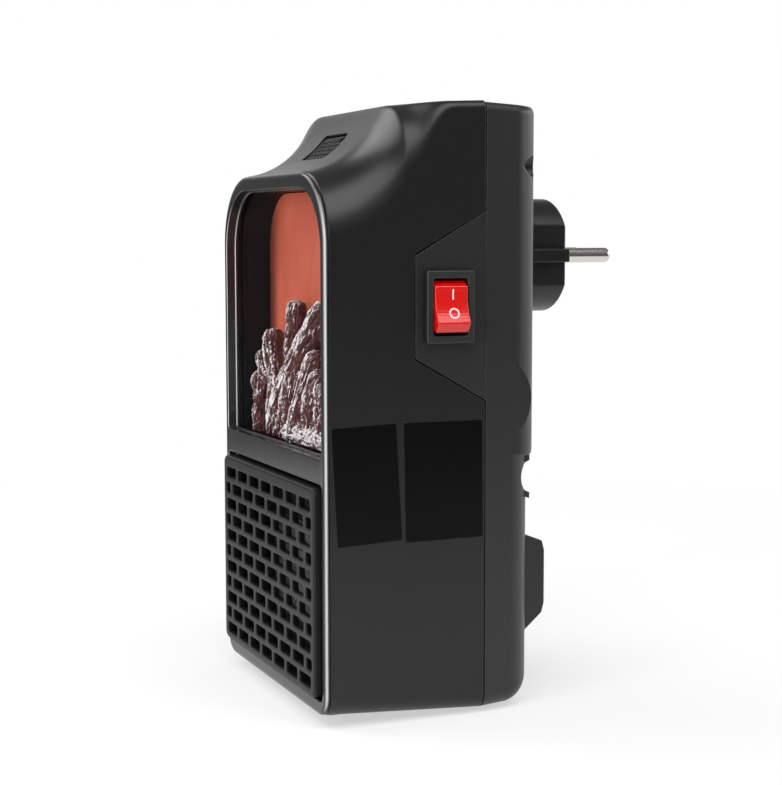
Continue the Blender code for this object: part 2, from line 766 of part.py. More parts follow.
def lower_screws():
    return [(side * (HALF_WIDTH - LOWER_SCREW_INSET), LOWER_SCREW_HEIGHT) for side in (-1, 1)]


def window_loop(grow=0):
    """The window's opening as (x, z) points, grown evenly."""
    top = bezel_top() - BEZEL_TOP_BAR + grow
    return outline(HALF_WIDTH - BEZEL_BAR + grow, SILL_HEIGHT - grow, top,
                   OPENING_CORNER + grow, FRONT_TOP_RADIUS - BEZEL_BAR + grow, SMALL_STEPS)


def bezel_top():
    return top_height(FRONT_Y)


def grille_opening_loop(grow=0):
    high = SILL_HEIGHT - MID_BAR + grow
    return outline(HALF_WIDTH - BEZEL_BAR + grow, GRILLE_OPENING_LOW - grow, high,
                   OPENING_CORNER + grow, OPENING_CORNER + grow, SMALL_STEPS, SMALL_STEPS)


def make_front_shell():
    """Front shell: a sleeve with the scooped top, a pad below and a cut for the switch tongue."""
    shell = front_solid("front_shell", SHELL_FRONT_Y, PARTING_Y - SEAM_GAP / 2)
    pad = block("front_pad", (-PAD_WIDTH / 2, PAD_WIDTH / 2), (-PAD_LENGTH / 2, PAD_LENGTH / 2),
                (0, FRONT_LIFT + WALL / 2))
    bevel(pad, PAD_EDGE, 1)
    join(shell, pad)
    hollow = front_solid("front_hollow", SHELL_FRONT_Y - WALL, PARTING_Y + OVERRUN, WALL)
    cut(shell, hollow)
    cut(shell, extruded("tongue_cut", [tongue_loop(SEAM_GAP, OVERRUN)], HALF_WIDTH - 2 * WALL,
                        HALF_WIDTH + OVERRUN, SIDE_VIEW))
    cut(shell, vent_cutter("vent_pocket", VENT_WIDTH, VENT_LENGTH, VENT_CORNER, -VENT_DEPTH, OVERRUN),
        vent_cutter("vent_opening", VENT_WIDTH - 2 * VENT_LEDGE, VENT_LENGTH - 2 * VENT_LEDGE,
                    VENT_CORNER - VENT_LEDGE / 2, -OVERRUN, OVERRUN))
    for number, (x, z) in enumerate(upper_screws() + lower_screws(), 1):
        join(shell, front_boss(number, x, z))
    join(shell, *guide_rails())
    return shell


def guide_rails():
    """Upright ribs on the side walls: a pair holds the fan shroud's edge, one stops the firebox."""
    plate = fan_front()
    liner_back = liner_front() + LINER_DEPTH
    low, high = DUCT_HEIGHT - RAIL_RISE / 2, DUCT_HEIGHT + RAIL_RISE / 2
    spans = (("shroud_rail_front", plate - FIT_GAP - RAIL_THICKNESS, low, high),
             ("shroud_rail_back", plate + SHROUD_FACE + FIT_GAP, low, high),
             ("liner_stop", liner_back + FIT_GAP, liner_low() + RAIL_THICKNESS,
              liner_low() + LINER_STOP_RISE))
    inner, outer = HALF_WIDTH - WALL - RAIL_REACH, HALF_WIDTH - WALL / 2
    rails = []
    for name, start, low, high in spans:
        for side, (left, right) in (("left", (-outer, -inner)), ("right", (inner, outer))):
            rails.append(block("%s_%s" % (name, side), (left, right), (start, start + RAIL_THICKNESS),
                               (low, high)))
    return rails


def boss_axis(x, z):
    """A screw post's own axis, drawn in where its screw sits close to the wall."""
    if z < STEP_HEIGHT:
        return x
    return x - math.copysign(BOSS_RADIUS - SCREW_INSET + WALL / 2, x)


def boss_shape(name, x, z, grow, start, end):
    """A screw post; a lower one has a web that ties it to the bottom wall."""
    axis = boss_axis(x, z)
    post = drum(name, BOSS_RADIUS + grow, (axis, start, z), (axis, end, z), steps=POST_STEPS)
    if z < STEP_HEIGHT:
        half = WALL / 2 + grow
        join(post, block(name + "_web", (axis - half, axis + half), (start, end),
                         (PARTING_LIFT + WALL / 2, z)))
    return post


def front_boss(number, x, z):
    """A post inside the front shell that takes a shell screw from behind."""
    start = PARTING_Y - BOSS_ROOT
    post = boss_shape("front_boss_%d" % number, x, z, 0, start, PARTING_Y - SEAM_GAP / 2)
    pilot = drum("front_pilot_%d" % number, SCREW_RADIUS + FIT_GAP,
                 (x, start + OVERRUN / 4, z), (x, PARTING_Y + OVERRUN, z), steps=HOLE_STEPS)
    cut(post, pilot)
    return post


def vent_frame():
    """Where the slotted insert lies: on the scoop, facing out along its radius."""
    axis = Vector((0, FRONT_Y + SCOOP_AXIS_BACK, SCOOP_AXIS_HEIGHT))
    y = FRONT_Y + VENT_BEHIND
    place = Vector((0, y, scoop_height(y, 0)))
    normal = (axis - place).normalized()
    across = Vector((1, 0, 0))
    along = normal.cross(across)
    turn = Matrix((across, along, normal)).transposed().to_4x4()
    return Matrix.Translation(place) @ turn


def vent_cutter(name, width, length, corner, first, last):
    piece = extruded(name, [rounded(width, length, corner)], first, last, Matrix.Identity(4))
    piece.matrix_world = vent_frame() @ piece.matrix_world
    return piece


def make_top_vent():
    """Slotted insert on its ledge in the scoop."""
    loops = [rounded(VENT_WIDTH - 2 * FIT_GAP, VENT_LENGTH - 2 * FIT_GAP, VENT_CORNER)]
    for row in range(VENT_ROWS):
        for column in range(VENT_COLUMNS):
            u = (column - (VENT_COLUMNS - 1) / 2) * VENT_COLUMN_PITCH
            v = (row - (VENT_ROWS - 1) / 2) * VENT_ROW_PITCH
            loops.append([(u - VENT_SLOT_WIDTH / 2 - VENT_SLANT, v - VENT_SLOT_LENGTH / 2),
                          (u + VENT_SLOT_WIDTH / 2 - VENT_SLANT, v - VENT_SLOT_LENGTH / 2),
                          (u + VENT_SLOT_WIDTH / 2 + VENT_SLANT, v + VENT_SLOT_LENGTH / 2),
                          (u - VENT_SLOT_WIDTH / 2 + VENT_SLANT, v + VENT_SLOT_LENGTH / 2)])
    low = -VENT_DEPTH + FIT_GAP
    vent = extruded("top_vent", loops, low, low + VENT_THICKNESS - FIT_GAP, Matrix.Identity(4),
                    "grille_black")
    vent.matrix_world = vent_frame() @ vent.matrix_world
    return vent


def make_rear_shell():
    """Rear shell: a tray with a stepped back, the switch tongue, the wall spacer and the plug's hole."""
    first = PARTING_Y + SEAM_GAP / 2
    shell = rear_solid("rear_shell", first, LOWER_REAR_Y)
    upper = rear_solid("rear_upper", first, REAR_Y, 0, STEP_HEIGHT)
    reach = HALF_WIDTH - CORNER_DRUM_INSET
    axis_y = PARTING_Y + CORNER_DRUM_BACK
    corner_drum = drum("corner_drum", CORNER_DRUM_RADIUS, (-reach, axis_y, CORNER_DRUM_HEIGHT),
                       (reach, axis_y, CORNER_DRUM_HEIGHT), steps=DRUM_STEPS)
    ahead = block("corner_drum_ahead", (-BODY_WIDTH, BODY_WIDTH),
                  (axis_y - 2 * CORNER_DRUM_RADIUS, first + SEAM_GAP),
                  (CORNER_DRUM_HEIGHT - 2 * CORNER_DRUM_RADIUS,
                   CORNER_DRUM_HEIGHT + 2 * CORNER_DRUM_RADIUS))
    cut(corner_drum, ahead)
    join(shell, upper, corner_drum)
    join(shell, spacer("spacer", 0))
    cut(shell, rear_solid("rear_hollow", PARTING_Y - OVERRUN, LOWER_REAR_Y - WALL, WALL))
    channel_y = LOWER_REAR_Y - REAR_CHANNEL_DEPTH + REAR_CHANNEL_RADIUS
    half = HALF_WIDTH - 2 * WALL
    rib = drum("channel_back", REAR_CHANNEL_RADIUS + WALL, (-half, channel_y, REAR_CHANNEL_HEIGHT),
               (half, channel_y, REAR_CHANNEL_HEIGHT), steps=POST_STEPS)
    trim = block("channel_trim", (-BODY_WIDTH, BODY_WIDTH),
                 (LOWER_REAR_Y - WALL / 2, LOWER_REAR_Y + BODY_WIDTH),
                 (REAR_CHANNEL_HEIGHT - BODY_WIDTH / 2, REAR_CHANNEL_HEIGHT + BODY_WIDTH / 2))
    cut(rib, trim)
    join(shell, rib)
    cut(shell, drum("rear_channel", REAR_CHANNEL_RADIUS, (-BODY_WIDTH, channel_y, REAR_CHANNEL_HEIGHT),
                    (BODY_WIDTH, channel_y, REAR_CHANNEL_HEIGHT), steps=POST_STEPS))
    cut(shell, spacer("spacer_hollow", WALL))
    cut(shell, *intake_slots())
    lip_first = PARTING_Y - SEAM_LIP_REACH
    lip = lip_ring("seam_lip", lip_first, PARTING_Y + SEAM_LIP_REACH)
    join(shell, lip)
    behind = HALF_WIDTH - WALL - TONGUE_BACKING_GAP - TONGUE_BACKING
    join(shell, extruded("tongue", [tongue_loop(0, WALL)], behind + TONGUE_BACKING / 2,
                         HALF_WIDTH - TONGUE_RECESS, SIDE_VIEW),
         extruded("tongue_backing", [tongue_loop(TONGUE_LAP, WALL / 2)], behind, behind + TONGUE_BACKING,
                  SIDE_VIEW))
    pad_first = first + REAR_PAD_START
    pad = block("rear_pad", (-PAD_WIDTH / 2, PAD_WIDTH / 2), (pad_first, pad_first + REAR_PAD_LENGTH),
                (0, REAR_PAD_ROOT))
    bevel(pad, PAD_EDGE, 1)
    join(shell, pad)
    cut(shell, drum("plug_hole", PLUG_RADIUS - PLUG_NECK_INSET + FIT_GAP,
                    (0, REAR_Y - REAR_DEPTH / 2, PLUG_HEIGHT), (0, REAR_Y + OVERRUN, PLUG_HEIGHT)))
    cut(shell, switch_cutter())
    for number, (x, z) in enumerate(upper_screws() + lower_screws(), 1):
        join(shell, rear_boss(number, x, z))
        cut(shell, screw_recess(number, x, z))
    return shell


def lip_ring(name, first, last):
    """A thin wall rooted in the rear shell that reaches inside the front shell and hides the seam."""
    free, rooted = WALL + FIT_GAP, WALL - FIT_GAP
    places = ((first, free), (PARTING_Y + 2 * FIT_GAP, free), (PARTING_Y + 3 * FIT_GAP, rooted),
              (last, rooted))
    rings = [[(x, y, z) for x, z in inner_section(inset)] for y, inset in places]
    lip = loft(name, rings, "black_abs")
    inner = loft(name + "_inside", [[(x, y, z) for x, z in inner_section(free + SEAM_LIP)]
                                    for y in (first - OVERRUN, last + OVERRUN)], "black_abs")
    cut(lip, inner)
    for number, (x, z) in enumerate(upper_screws() + lower_screws(), 1):
        cut(lip, boss_shape("lip_gap_%d" % number, x, z, FIT_GAP, first - OVERRUN, last + OVERRUN))
    return lip


def inner_section(inset):
    """The parting plane's outline drawn in by an inset."""
    return outline(HALF_WIDTH - inset, PARTING_LIFT + inset, REAR_TOP_HEIGHT + REAR_TOP_FALL - inset,
                   PARTING_BOTTOM_RADIUS - inset, INNER_RADIUS)


def spacer(name, inset):
    """The raised wall spacer behind the fan, or its hollow."""
    base = LOWER_REAR_Y - (WALL / 2 if inset == 0 else 2 * WALL)
    face = LOWER_REAR_Y + SPACER_REACH - inset
    crown = SPACER_CROWN
    low = SPACER_LOW + inset
    high = SPACER_LOW + SPACER_BASE_RISE - inset
    face_low = SPACER_FACE_LOW + inset / 2
    face_high = SPACER_FACE_LOW + SPACER_FACE_RISE - inset / 2
    slope = SPACER_SLOPE
    loop = [(base, low), (LOWER_REAR_Y, low), (face - crown, face_low), (face, face_low + slope),
            (face, face_high - slope), (face - crown, face_high), (LOWER_REAR_Y, high), (base, high)]
    half = SPACER_WIDTH / 2 - inset
    piece = extruded(name, [loop], -half, half, SIDE_VIEW, "black_abs")
    if inset == 0:
        bevel(piece, SPACER_EDGE, 2)
    return piece


def intake_slots():
    """Upright slots through the spacer's face."""
    slots = []
    face = LOWER_REAR_Y + SPACER_REACH
    low = SPACER_FACE_LOW + INTAKE_SLOT_MARGIN
    high = SPACER_FACE_LOW + SPACER_FACE_RISE - INTAKE_SLOT_MARGIN
    for number in range(INTAKE_SLOTS):
        x = (number - (INTAKE_SLOTS - 1) / 2) * INTAKE_SLOT_PITCH
        loop = rounded(INTAKE_SLOT_WIDTH, high - low, INTAKE_SLOT_CORNER,
                       (x, (low + high) / 2), SLOT_STEPS)
        slots.append(extruded("intake_slot_%d" % (number + 1), [loop], face - 2 * WALL, face + WALL))
    return slots


def switch_cutter():
    half_y = SWITCH_BODY_WIDTH / 2 + FIT_GAP
    half_z = SWITCH_BODY_LENGTH / 2 + FIT_GAP
    return block("switch_hole", (HALF_WIDTH - 2 * WALL, HALF_WIDTH + OVERRUN),
                 (SWITCH_Y - half_y, SWITCH_Y + half_y), (SWITCH_HEIGHT - half_z, SWITCH_HEIGHT + half_z))


def recess_floor():
    return PARTING_Y + RECESS_FLOOR


def rear_boss(number, x, z):
    """A tube inside the rear shell round a screw's recess, closed at the parting plane."""
    plane = REAR_Y if z > STEP_HEIGHT else LOWER_REAR_Y
    axis = boss_axis(x, z)
    post = drum("rear_boss_%d" % number, BOSS_RADIUS, (axis, PARTING_Y + SEAM_GAP / 2, z),
                (axis, plane - WALL / 2, z), steps=POST_STEPS)
    limit = rear_solid("rear_boss_limit_%d" % number, PARTING_Y - OVERRUN, plane, WALL / 2)
    combine(post, [limit], "INTERSECT")
    return post


def screw_recess(number, x, z):
    recess = drum("screw_recess_%d" % number, SCREW_RECESS_RADIUS, (x, recess_floor(), z),
                  (x, REAR_Y + OVERRUN, z), steps=POST_STEPS)
    hole = drum("screw_hole_%d" % number, SCREW_RADIUS + FIT_GAP, (x, PARTING_Y - OVERRUN, z),
                (x, recess_floor() + OVERRUN / 2, z), steps=HOLE_STEPS)
    join(recess, hole)
    return recess


def make_screw(name, head_y, x, z, radius, head, head_height, length, from_front=False):
    """A pan-head screw with a cross slot, driven from behind or from the front."""
    profile = [(0, head_height), (head * SCREW_DOME_SHARE, head_height), (head, head_height / 3), (head, 0),
               (radius, 0), (radius, -length + radius), (0, -length)]
    screw = turned(name, profile, Vector((x, head_y, z)), TO_FRONT if from_front else TO_REAR,
                   SCREW_STEPS, "steel")
    outward = -1 if from_front else 1
    floor = head_y + outward * (head_height - SCREW_SLOT_DEPTH)
    above = head_y + outward * (head_height + SCREW_SLOT)
    reach = head * SLOT_REACH_SHARE
    for label, across, along in (("level", reach, SCREW_SLOT / 2), ("upright", SCREW_SLOT / 2, reach)):
        cut(screw, block("%s_slot_%s" % (name, label), (x - across, x + across),
                         (min(floor, above), max(floor, above)), (z - along, z + along)))
    return screw


def make_shell_screws():
    for number, (x, z) in enumerate(upper_screws() + lower_screws(), 1):
        make_screw("shell_screw_%d" % number, recess_floor() + FIT_GAP, x, z, SCREW_RADIUS,
                   SCREW_HEAD_RADIUS, SCREW_HEAD_HEIGHT, SCREW_LENGTH)


def make_bezel():
    """Front frame: arched outline, window opening with a deep reveal, sill bar and grille opening."""
    outer = outline(HALF_WIDTH, bottom_height(FRONT_Y), bezel_top(), FRONT_BOTTOM_RADIUS, FRONT_TOP_RADIUS)
    bezel = extruded("front_bezel", [outer], FRONT_Y, BEZEL_BACK_Y, FRONT_VIEW, "dark_abs")
    bevel(bezel, BEZEL_EDGE_ROUND, 2, RIM_ANGLE)
    root = FRONT_Y + BEZEL_THICKNESS / 2
    reveal = FRONT_Y + REVEAL_DEPTH
    join(bezel, extruded("window_reveal", [window_loop(REVEAL_WALL)], root, reveal),
         extruded("grille_reveal", [grille_opening_loop(REVEAL_WALL / 2)], root, reveal))
    cut(bezel, extruded("window_opening", [window_loop()], FRONT_Y - OVERRUN, reveal + OVERRUN),
        extruded("grille_opening", [grille_opening_loop()], FRONT_Y - OVERRUN, reveal + OVERRUN))
    return bezel


def make_pane():
    """Clear pane, seated behind the reveal."""
    first = FRONT_Y + REVEAL_DEPTH + FIT_GAP
    return extruded("window_pane", [window_loop(REVEAL_WALL)], first, first + PANE_THICKNESS, FRONT_VIEW,
                    "clear")


def liner_low():
    return SILL_HEIGHT - REVEAL_WALL - LINER_WALL


def liner_loop(grow):
    """The firebox outline behind the pane, grown evenly."""
    half = HALF_WIDTH - WALL - FIT_GAP
    floor_z = liner_low()
    top = bezel_top() - BEZEL_TOP_BAR + REVEAL_WALL
    radius = FRONT_TOP_RADIUS - BEZEL_BAR
    return outline(half + grow, floor_z - grow, top + grow, OPENING_CORNER + grow, radius + grow,
                   SMALL_STEPS)


def liner_front():
    return FRONT_Y + REVEAL_DEPTH + 2 * FIT_GAP + PANE_THICKNESS


def make_liner():
    """Black firebox: a tray open to the pane."""
    first = liner_front()
    liner = extruded("firebox_liner", [liner_loop(0)], first, first + LINER_DEPTH, FRONT_VIEW,
                     "heater_black")
    back = first + LINER_DEPTH
    cut(liner, extruded("liner_hollow", [liner_loop(-LINER_WALL)], first - OVERRUN, back - LINER_WALL),
        drum("liner_lead_hole", WIRE_RADIUS + FIT_GAP, (BOARD_SHIFT, back - OVERRUN, LAMP_LEAD_HEIGHT),
             (BOARD_SHIFT, back + OVERRUN, LAMP_LEAD_HEIGHT), steps=HOLE_STEPS))
    for number, (x, z) in enumerate(board_corners(), 1):
        post = drum("board_post_%d" % number, BOARD_POST, (x, back - LINER_WALL / 2, z),
                    (x, board_front() - FIT_GAP, z), steps=POST_STEPS)
        cut(post, drum("board_pilot_%d" % number, MOUNT_SCREW_RADIUS + FIT_GAP, (x, back + FIT_GAP, z),
                       (x, board_front() + OVERRUN, z), steps=HOLE_STEPS))
        join(liner, post)
    return liner


def make_screen():
    """Translucent flame screen inside the firebox."""
    first = FRONT_Y + REVEAL_DEPTH + SCREEN_BEHIND - PANE_THICKNESS
    return extruded("flame_screen", [liner_loop(-LINER_WALL - FIT_GAP)], first, first + SCREEN_THICKNESS,
                    FRONT_VIEW, "flame_orange")


def screen_front():
    return FRONT_Y + REVEAL_DEPTH + SCREEN_BEHIND - PANE_THICKNESS


def make_logs():
    """One moulded heap of crossed logs on the firebox floor."""
    floor_z = SILL_HEIGHT - REVEAL_WALL + FIT_GAP
    depth = screen_front() - FIT_GAP - (liner_front() + FIT_GAP)
    middle = liner_front() + FIT_GAP + depth / 2
    half = HALF_WIDTH - WALL - LINER_WALL - 2 * FIT_GAP
    heap = block("log_bed", (-half + OPENING_CORNER, half - OPENING_CORNER),
                 (middle - depth / 2, middle + depth / 2), (floor_z, floor_z + LOG_SEAT), "bark")
    for name, start, end, size, forward in LOGS:
        radius = LOG_CORE_RADIUS * size
        y = middle - forward * (depth / 2 - radius)
        ends = [Vector((2 * half * u, y, floor_z + LOG_HEAP_HEIGHT * v)) for u, v in (start, end)]
        join(heap, drum(name, radius, ends[0], ends[1], steps=LOG_STEPS,
                        end_radius=radius * LOG_TAPER_SHARE))
    return heap


def grille_hole_loops():
    """Brick-offset holes; a hole that meets the border is shortened there."""
    loops = []
    limit = grille_half_width() - GRILLE_SKIRT_WALL - GRILLE_EDGE
    for row in range(GRILLE_ROWS):
        z = GRILLE_LOW_ROW + row * GRILLE_ROW_PITCH
        shifted = row % 2 == 1
        count = GRILLE_COLUMNS + 1 if shifted else GRILLE_COLUMNS
        for column in range(count):
            x = (column - (count - 1) / 2) * GRILLE_COLUMN_PITCH
            left = max(x - GRILLE_HOLE_WIDTH / 2, -limit)
            right = min(x + GRILLE_HOLE_WIDTH / 2, limit)
            low, high = z - GRILLE_HOLE_HEIGHT / 2, z + GRILLE_HOLE_HEIGHT / 2
            loops.append([(left, low), (right, low), (right, high), (left, high)])
    return loops


def grille_half_width():
    return HALF_WIDTH - BEZEL_BAR - GRILLE_GAP


def grille_loop(grow=0):
    low = GRILLE_OPENING_LOW + GRILLE_GAP - grow
    high = SILL_HEIGHT - MID_BAR - GRILLE_GAP + grow
    radius = GRILLE_CORNER + grow
    return outline(grille_half_width() + grow, low, high, radius, radius, SMALL_STEPS, SMALL_STEPS)


def make_grille():
    """Outlet grille: a proud pierced plate with rounded edges and a skirt behind it."""
    front = FRONT_Y - GRILLE_PROUD
    back = front + GRILLE_PLATE + GRILLE_SKIRT
    grille = extruded("outlet_grille", [grille_loop()], front, back, FRONT_VIEW, "grille_black")
    bevel(grille, GRILLE_EDGE, 2, RIM_ANGLE)
    cut(grille, extruded("grille_hollow", [grille_loop(-GRILLE_SKIRT_WALL)], front + GRILLE_PLATE,
                         back + OVERRUN),
        extruded("grille_holes", grille_hole_loops(), front - OVERRUN, front + GRILLE_PLATE + GRILLE_EDGE))
    return grille


def duct_loop(grow=0):
    return rounded(DUCT_WIDTH + 2 * grow, DUCT_RISE + 2 * grow, DUCT_CORNER + grow, (0, DUCT_HEIGHT), 2)


def duct_front():
    return FRONT_Y - GRILLE_PROUD + GRILLE_PLATE + GRILLE_SKIRT + FIT_GAP


def heater_front():
    return FRONT_Y + HEATER_BEHIND


def fan_front():
    return FRONT_Y + FAN_BEHIND


def make_duct():
    """Air duct from the fan shroud to the grille."""
    return extruded("air_duct", [duct_loop(), duct_loop(-DUCT_WALL)], duct_front(), fan_front() - FIT_GAP,
                    FRONT_VIEW, "heater_black")


def heater_rise():
    return FIN_ROWS * FIN_ROW_RISE + (FIN_ROWS - 1) * BAR_RISE + 2 * FIN_ROWS * FIT_GAP


def electrode_heights():
    low = HEATER_LOW - ELECTRODE_THICKNESS / 2
    return low, HEATER_LOW + heater_rise() + ELECTRODE_THICKNESS / 2


def electrode_tabs():
    """Name and place of each electrode's tab, on opposite sides."""
    side = FIN_WIDTH / 2 - TAB_INSET - TAB_WIDTH / 2
    low, high = electrode_heights()
    return (("electrode_low", side, low), ("electrode_high", -side, high))


def make_heater():
    """Heater frame with its fin packs, the heating bars between them and an electrode at each end."""
    first = heater_front()
    last = first + HEATER_THICKNESS
    half = FIN_WIDTH / 2
    reach = ELECTRODE_THICKNESS / 2 + FIT_GAP
    low, high = electrode_heights()
    opening = [(-half - FIT_GAP, low - reach), (half + FIT_GAP, low - reach),
               (half + FIT_GAP, high + reach), (-half - FIT_GAP, high + reach)]
    extruded("heater_frame", [duct_loop(-DUCT_WALL - FIT_GAP), opening], first, last, FRONT_VIEW,
             "heater_black")
    for name, x, z in electrode_tabs():
        span = (z - ELECTRODE_THICKNESS / 2, z + ELECTRODE_THICKNESS / 2)
        plate = block(name, (-half, half), (first, last), span, "aluminium")
        tab = block(name + "_tab", (x - TAB_WIDTH / 2, x + TAB_WIDTH / 2),
                    (last - TAB_INSET, last + TAB_REACH),
                    (span[0], span[1]))
        join(plate, tab)
    for row in range(FIN_ROWS):
        foot = HEATER_LOW + FIT_GAP + row * (FIN_ROW_RISE + BAR_RISE + 2 * FIT_GAP)
        extruded("fin_pack_%d" % (row + 1), [fin_loop(foot, foot + FIN_ROW_RISE)], first, last,
                 FRONT_VIEW, "aluminium")
        if row < FIN_ROWS - 1:
            bar_low = foot + FIN_ROW_RISE + FIT_GAP
            block("heating_bar_%d" % (row + 1), (-half, half), (first, last), (bar_low, bar_low + BAR_RISE),
                  "aluminium")


def fin_loop(low, high):
    """A corrugated sheet seen from its edge, as one closed outline."""
    half = FIN_PITCH / 2
    fold = FIN_SHEET * math.hypot(half, high - low) / half
    count = int(FIN_WIDTH / half)
    over, under = [], []
    for i in range(count + 1):
        x = (i - count / 2) * half
        foot = i % 2 == 0
        over.append((x, low + fold if foot else high))
        under.append((x, low if foot else high - fold))
    return over + under[::-1]


def make_shroud():
    """Fan shroud: a face plate with a round bore, a collar and arms that carry the motor."""
    first = fan_front()
    half = HALF_WIDTH - WALL - FIT_GAP
    low, high = DUCT_HEIGHT - DUCT_RISE / 2, DUCT_HEIGHT + DUCT_RISE / 2
    plate_loop = outline(half, low, high, DUCT_CORNER, DUCT_CORNER, SMALL_STEPS, SMALL_STEPS)
    step = 360 / ROUND_STEPS
    bore = arc((0, DUCT_HEIGHT), SHROUD_BORE, 0, 360 - step, ROUND_STEPS - 1)
    ring = arc((0, DUCT_HEIGHT), SHROUD_BORE + SHROUD_RING, 0, 360 - step, ROUND_STEPS - 1)
    shroud = extruded("fan_shroud", [plate_loop], first, first + SHROUD_FACE, FRONT_VIEW, "heater_black")
    collar = extruded("shroud_collar", [ring], first + SHROUD_FACE / 2, first + SHROUD_THICKNESS)
    join(shroud, collar)
    cut(shroud, extruded("shroud_bore", [bore], first - OVERRUN, first + SHROUD_THICKNESS + OVERRUN))
    for name, x, z in electrode_tabs():
        cut(shroud, block(name + "_slot", (x - TAB_WIDTH / 2 - FIT_GAP, x + TAB_WIDTH / 2 + FIT_GAP),
                          (first - OVERRUN, first + OVERRUN),
                          (z - ELECTRODE_THICKNESS / 2 - FIT_GAP, z + ELECTRODE_THICKNESS / 2 + FIT_GAP)))
    back = first + SHROUD_THICKNESS
    plate = drum("motor_plate", MOTOR_CUP_RADIUS, (0, back - MOTOR_PLATE, DUCT_HEIGHT),
                 (0, back + MOTOR_CUP_RISE, DUCT_HEIGHT))
    for number in range(MOTOR_ARMS):
        angle = math.pi * (number + 0.5) * 2 / MOTOR_ARMS
        arm = block("motor_arm_%d" % (number + 1), (MOTOR_RADIUS / 2, SHROUD_BORE + SHROUD_RING / 2),
                    (back - MOTOR_ARM_DEPTH, back), (-MOTOR_ARM / 2, MOTOR_ARM / 2))
        arm.matrix_world = Matrix.Translation((0, 0, DUCT_HEIGHT)) @ Matrix.Rotation(angle, 4, "Y")
        join(plate, arm)
    cut(plate, drum("motor_cup", MOTOR_RADIUS + FIT_GAP, (0, back, DUCT_HEIGHT),
                    (0, back + OVERRUN, DUCT_HEIGHT)),
        drum("shaft_hole", MOTOR_BOSS + FIT_GAP, (0, back - 3 * MOTOR_PLATE, DUCT_HEIGHT),
             (0, back + MOTOR_PLATE, DUCT_HEIGHT), steps=POST_STEPS))
    join(shroud, plate)
    return shroud


def motor_front():
    return fan_front() + SHROUD_THICKNESS + FIT_GAP


def make_motor():
    """Motor can with its front boss, bored for the shaft."""
    y = motor_front()
    boss = MOTOR_BOSS_RISE
    bore = SHAFT_RADIUS + RUNNING_GAP
    bore_end = MOTOR_LENGTH - MOTOR_BOSS
    profile = [(0, bore_end), (bore, bore_end), (bore, -boss), (MOTOR_BOSS, -boss), (MOTOR_BOSS, 0),
               (MOTOR_RADIUS, 0), (MOTOR_RADIUS, MOTOR_LENGTH), (0, MOTOR_LENGTH)]
    return turned("fan_motor", profile[::-1], Vector((0, y, DUCT_HEIGHT)), TO_REAR, MOTOR_STEPS, "steel")


def impeller_span():
    first = fan_front() + IMPELLER_START
    return first, first + IMPELLER_DEPTH


def make_impeller():
    """Impeller and shaft on the fan axis, which their origins share."""
    axis = bpy.data.objects.new("fan_axis", None)
    PARTS.objects.link(axis)
    first, last = impeller_span()
    axis.location = (0, first, DUCT_HEIGHT)
    hub = drum("fan_impeller", IMPELLER_HUB, (0, 0, 0), (0, IMPELLER_DEPTH, 0), "part_grey", HUB_STEPS)
    blades = [blade(number) for number in range(IMPELLER_BLADES)]
    hollow = drum("hub_hollow", IMPELLER_HUB - HUB_WALL, (0, HUB_WALL, 0), (0, IMPELLER_DEPTH + OVERRUN, 0),
                  steps=POST_STEPS)
    core = drum("hub_core", SHAFT_RADIUS + HUB_WALL, (0, HUB_WALL / 2, 0), (0, IMPELLER_DEPTH, 0),
                steps=POST_STEPS)
    bore = drum("hub_bore", SHAFT_RADIUS + FIT_GAP / 2, (0, HUB_WALL, 0), (0, IMPELLER_DEPTH + OVERRUN, 0),
                steps=HOLE_STEPS)
    shaft_end = motor_front() + MOTOR_LENGTH - MOTOR_BOSS - FIT_GAP - first
    shaft = drum("fan_shaft", SHAFT_RADIUS, (0, HUB_WALL + FIT_GAP, 0), (0, shaft_end, 0), "steel",
                 HOLE_STEPS)
    for item in (hub, shaft, hollow, core, bore, *blades):
        item.parent = axis
    join(hub, *blades)
    cut(hub, hollow)
    join(hub, core)
    cut(hub, bore)
    return hub


def blade(number):
    """One pitched blade, lofted from the hub to the tip."""
    rings = []
    for k in BLADE_STATION_SHARES:
        radius = blend(IMPELLER_HUB - HUB_WALL / 2, IMPELLER_RADIUS, k)
        chord = IMPELLER_DEPTH * BLADE_CHORD_SHARE / math.sin(BLADE_LEAD)
        lead = BLADE_LEAD + BLADE_TWIST * (1 - k)
        along = Vector((math.cos(lead), math.sin(lead), 0)) * chord * blend(BLADE_ROOT_SHARE, 1, k) / 2
        thick = Vector((-math.sin(lead), math.cos(lead), 0)) * BLADE_THICKNESS / 2
        middle = Vector((0, IMPELLER_DEPTH / 2, radius))
        along.y = min(max(along.y, -IMPELLER_DEPTH / 2 + BLADE_THICKNESS),
                      IMPELLER_DEPTH / 2 - BLADE_THICKNESS)
        rings.append([middle - along - thick, middle + along - thick, middle + along + thick,
                      middle - along + thick])
    item = loft("blade_%d" % (number + 1), rings, "part_grey")
    item.matrix_world = Matrix.Rotation(2 * math.pi * number / IMPELLER_BLADES, 4, "Y")
    return item


def plug_section(steps=PLUG_STEPS):
    """Round plug outline with two flats, as (x, z) points."""
    corner = math.degrees(math.acos(PLUG_FLAT / PLUG_RADIUS))
    points = arc((0, PLUG_HEIGHT), PLUG_RADIUS, corner, 180 - corner, steps)
    return points + arc((0, PLUG_HEIGHT), PLUG_RADIUS, 180 + corner, 360 - corner, steps)


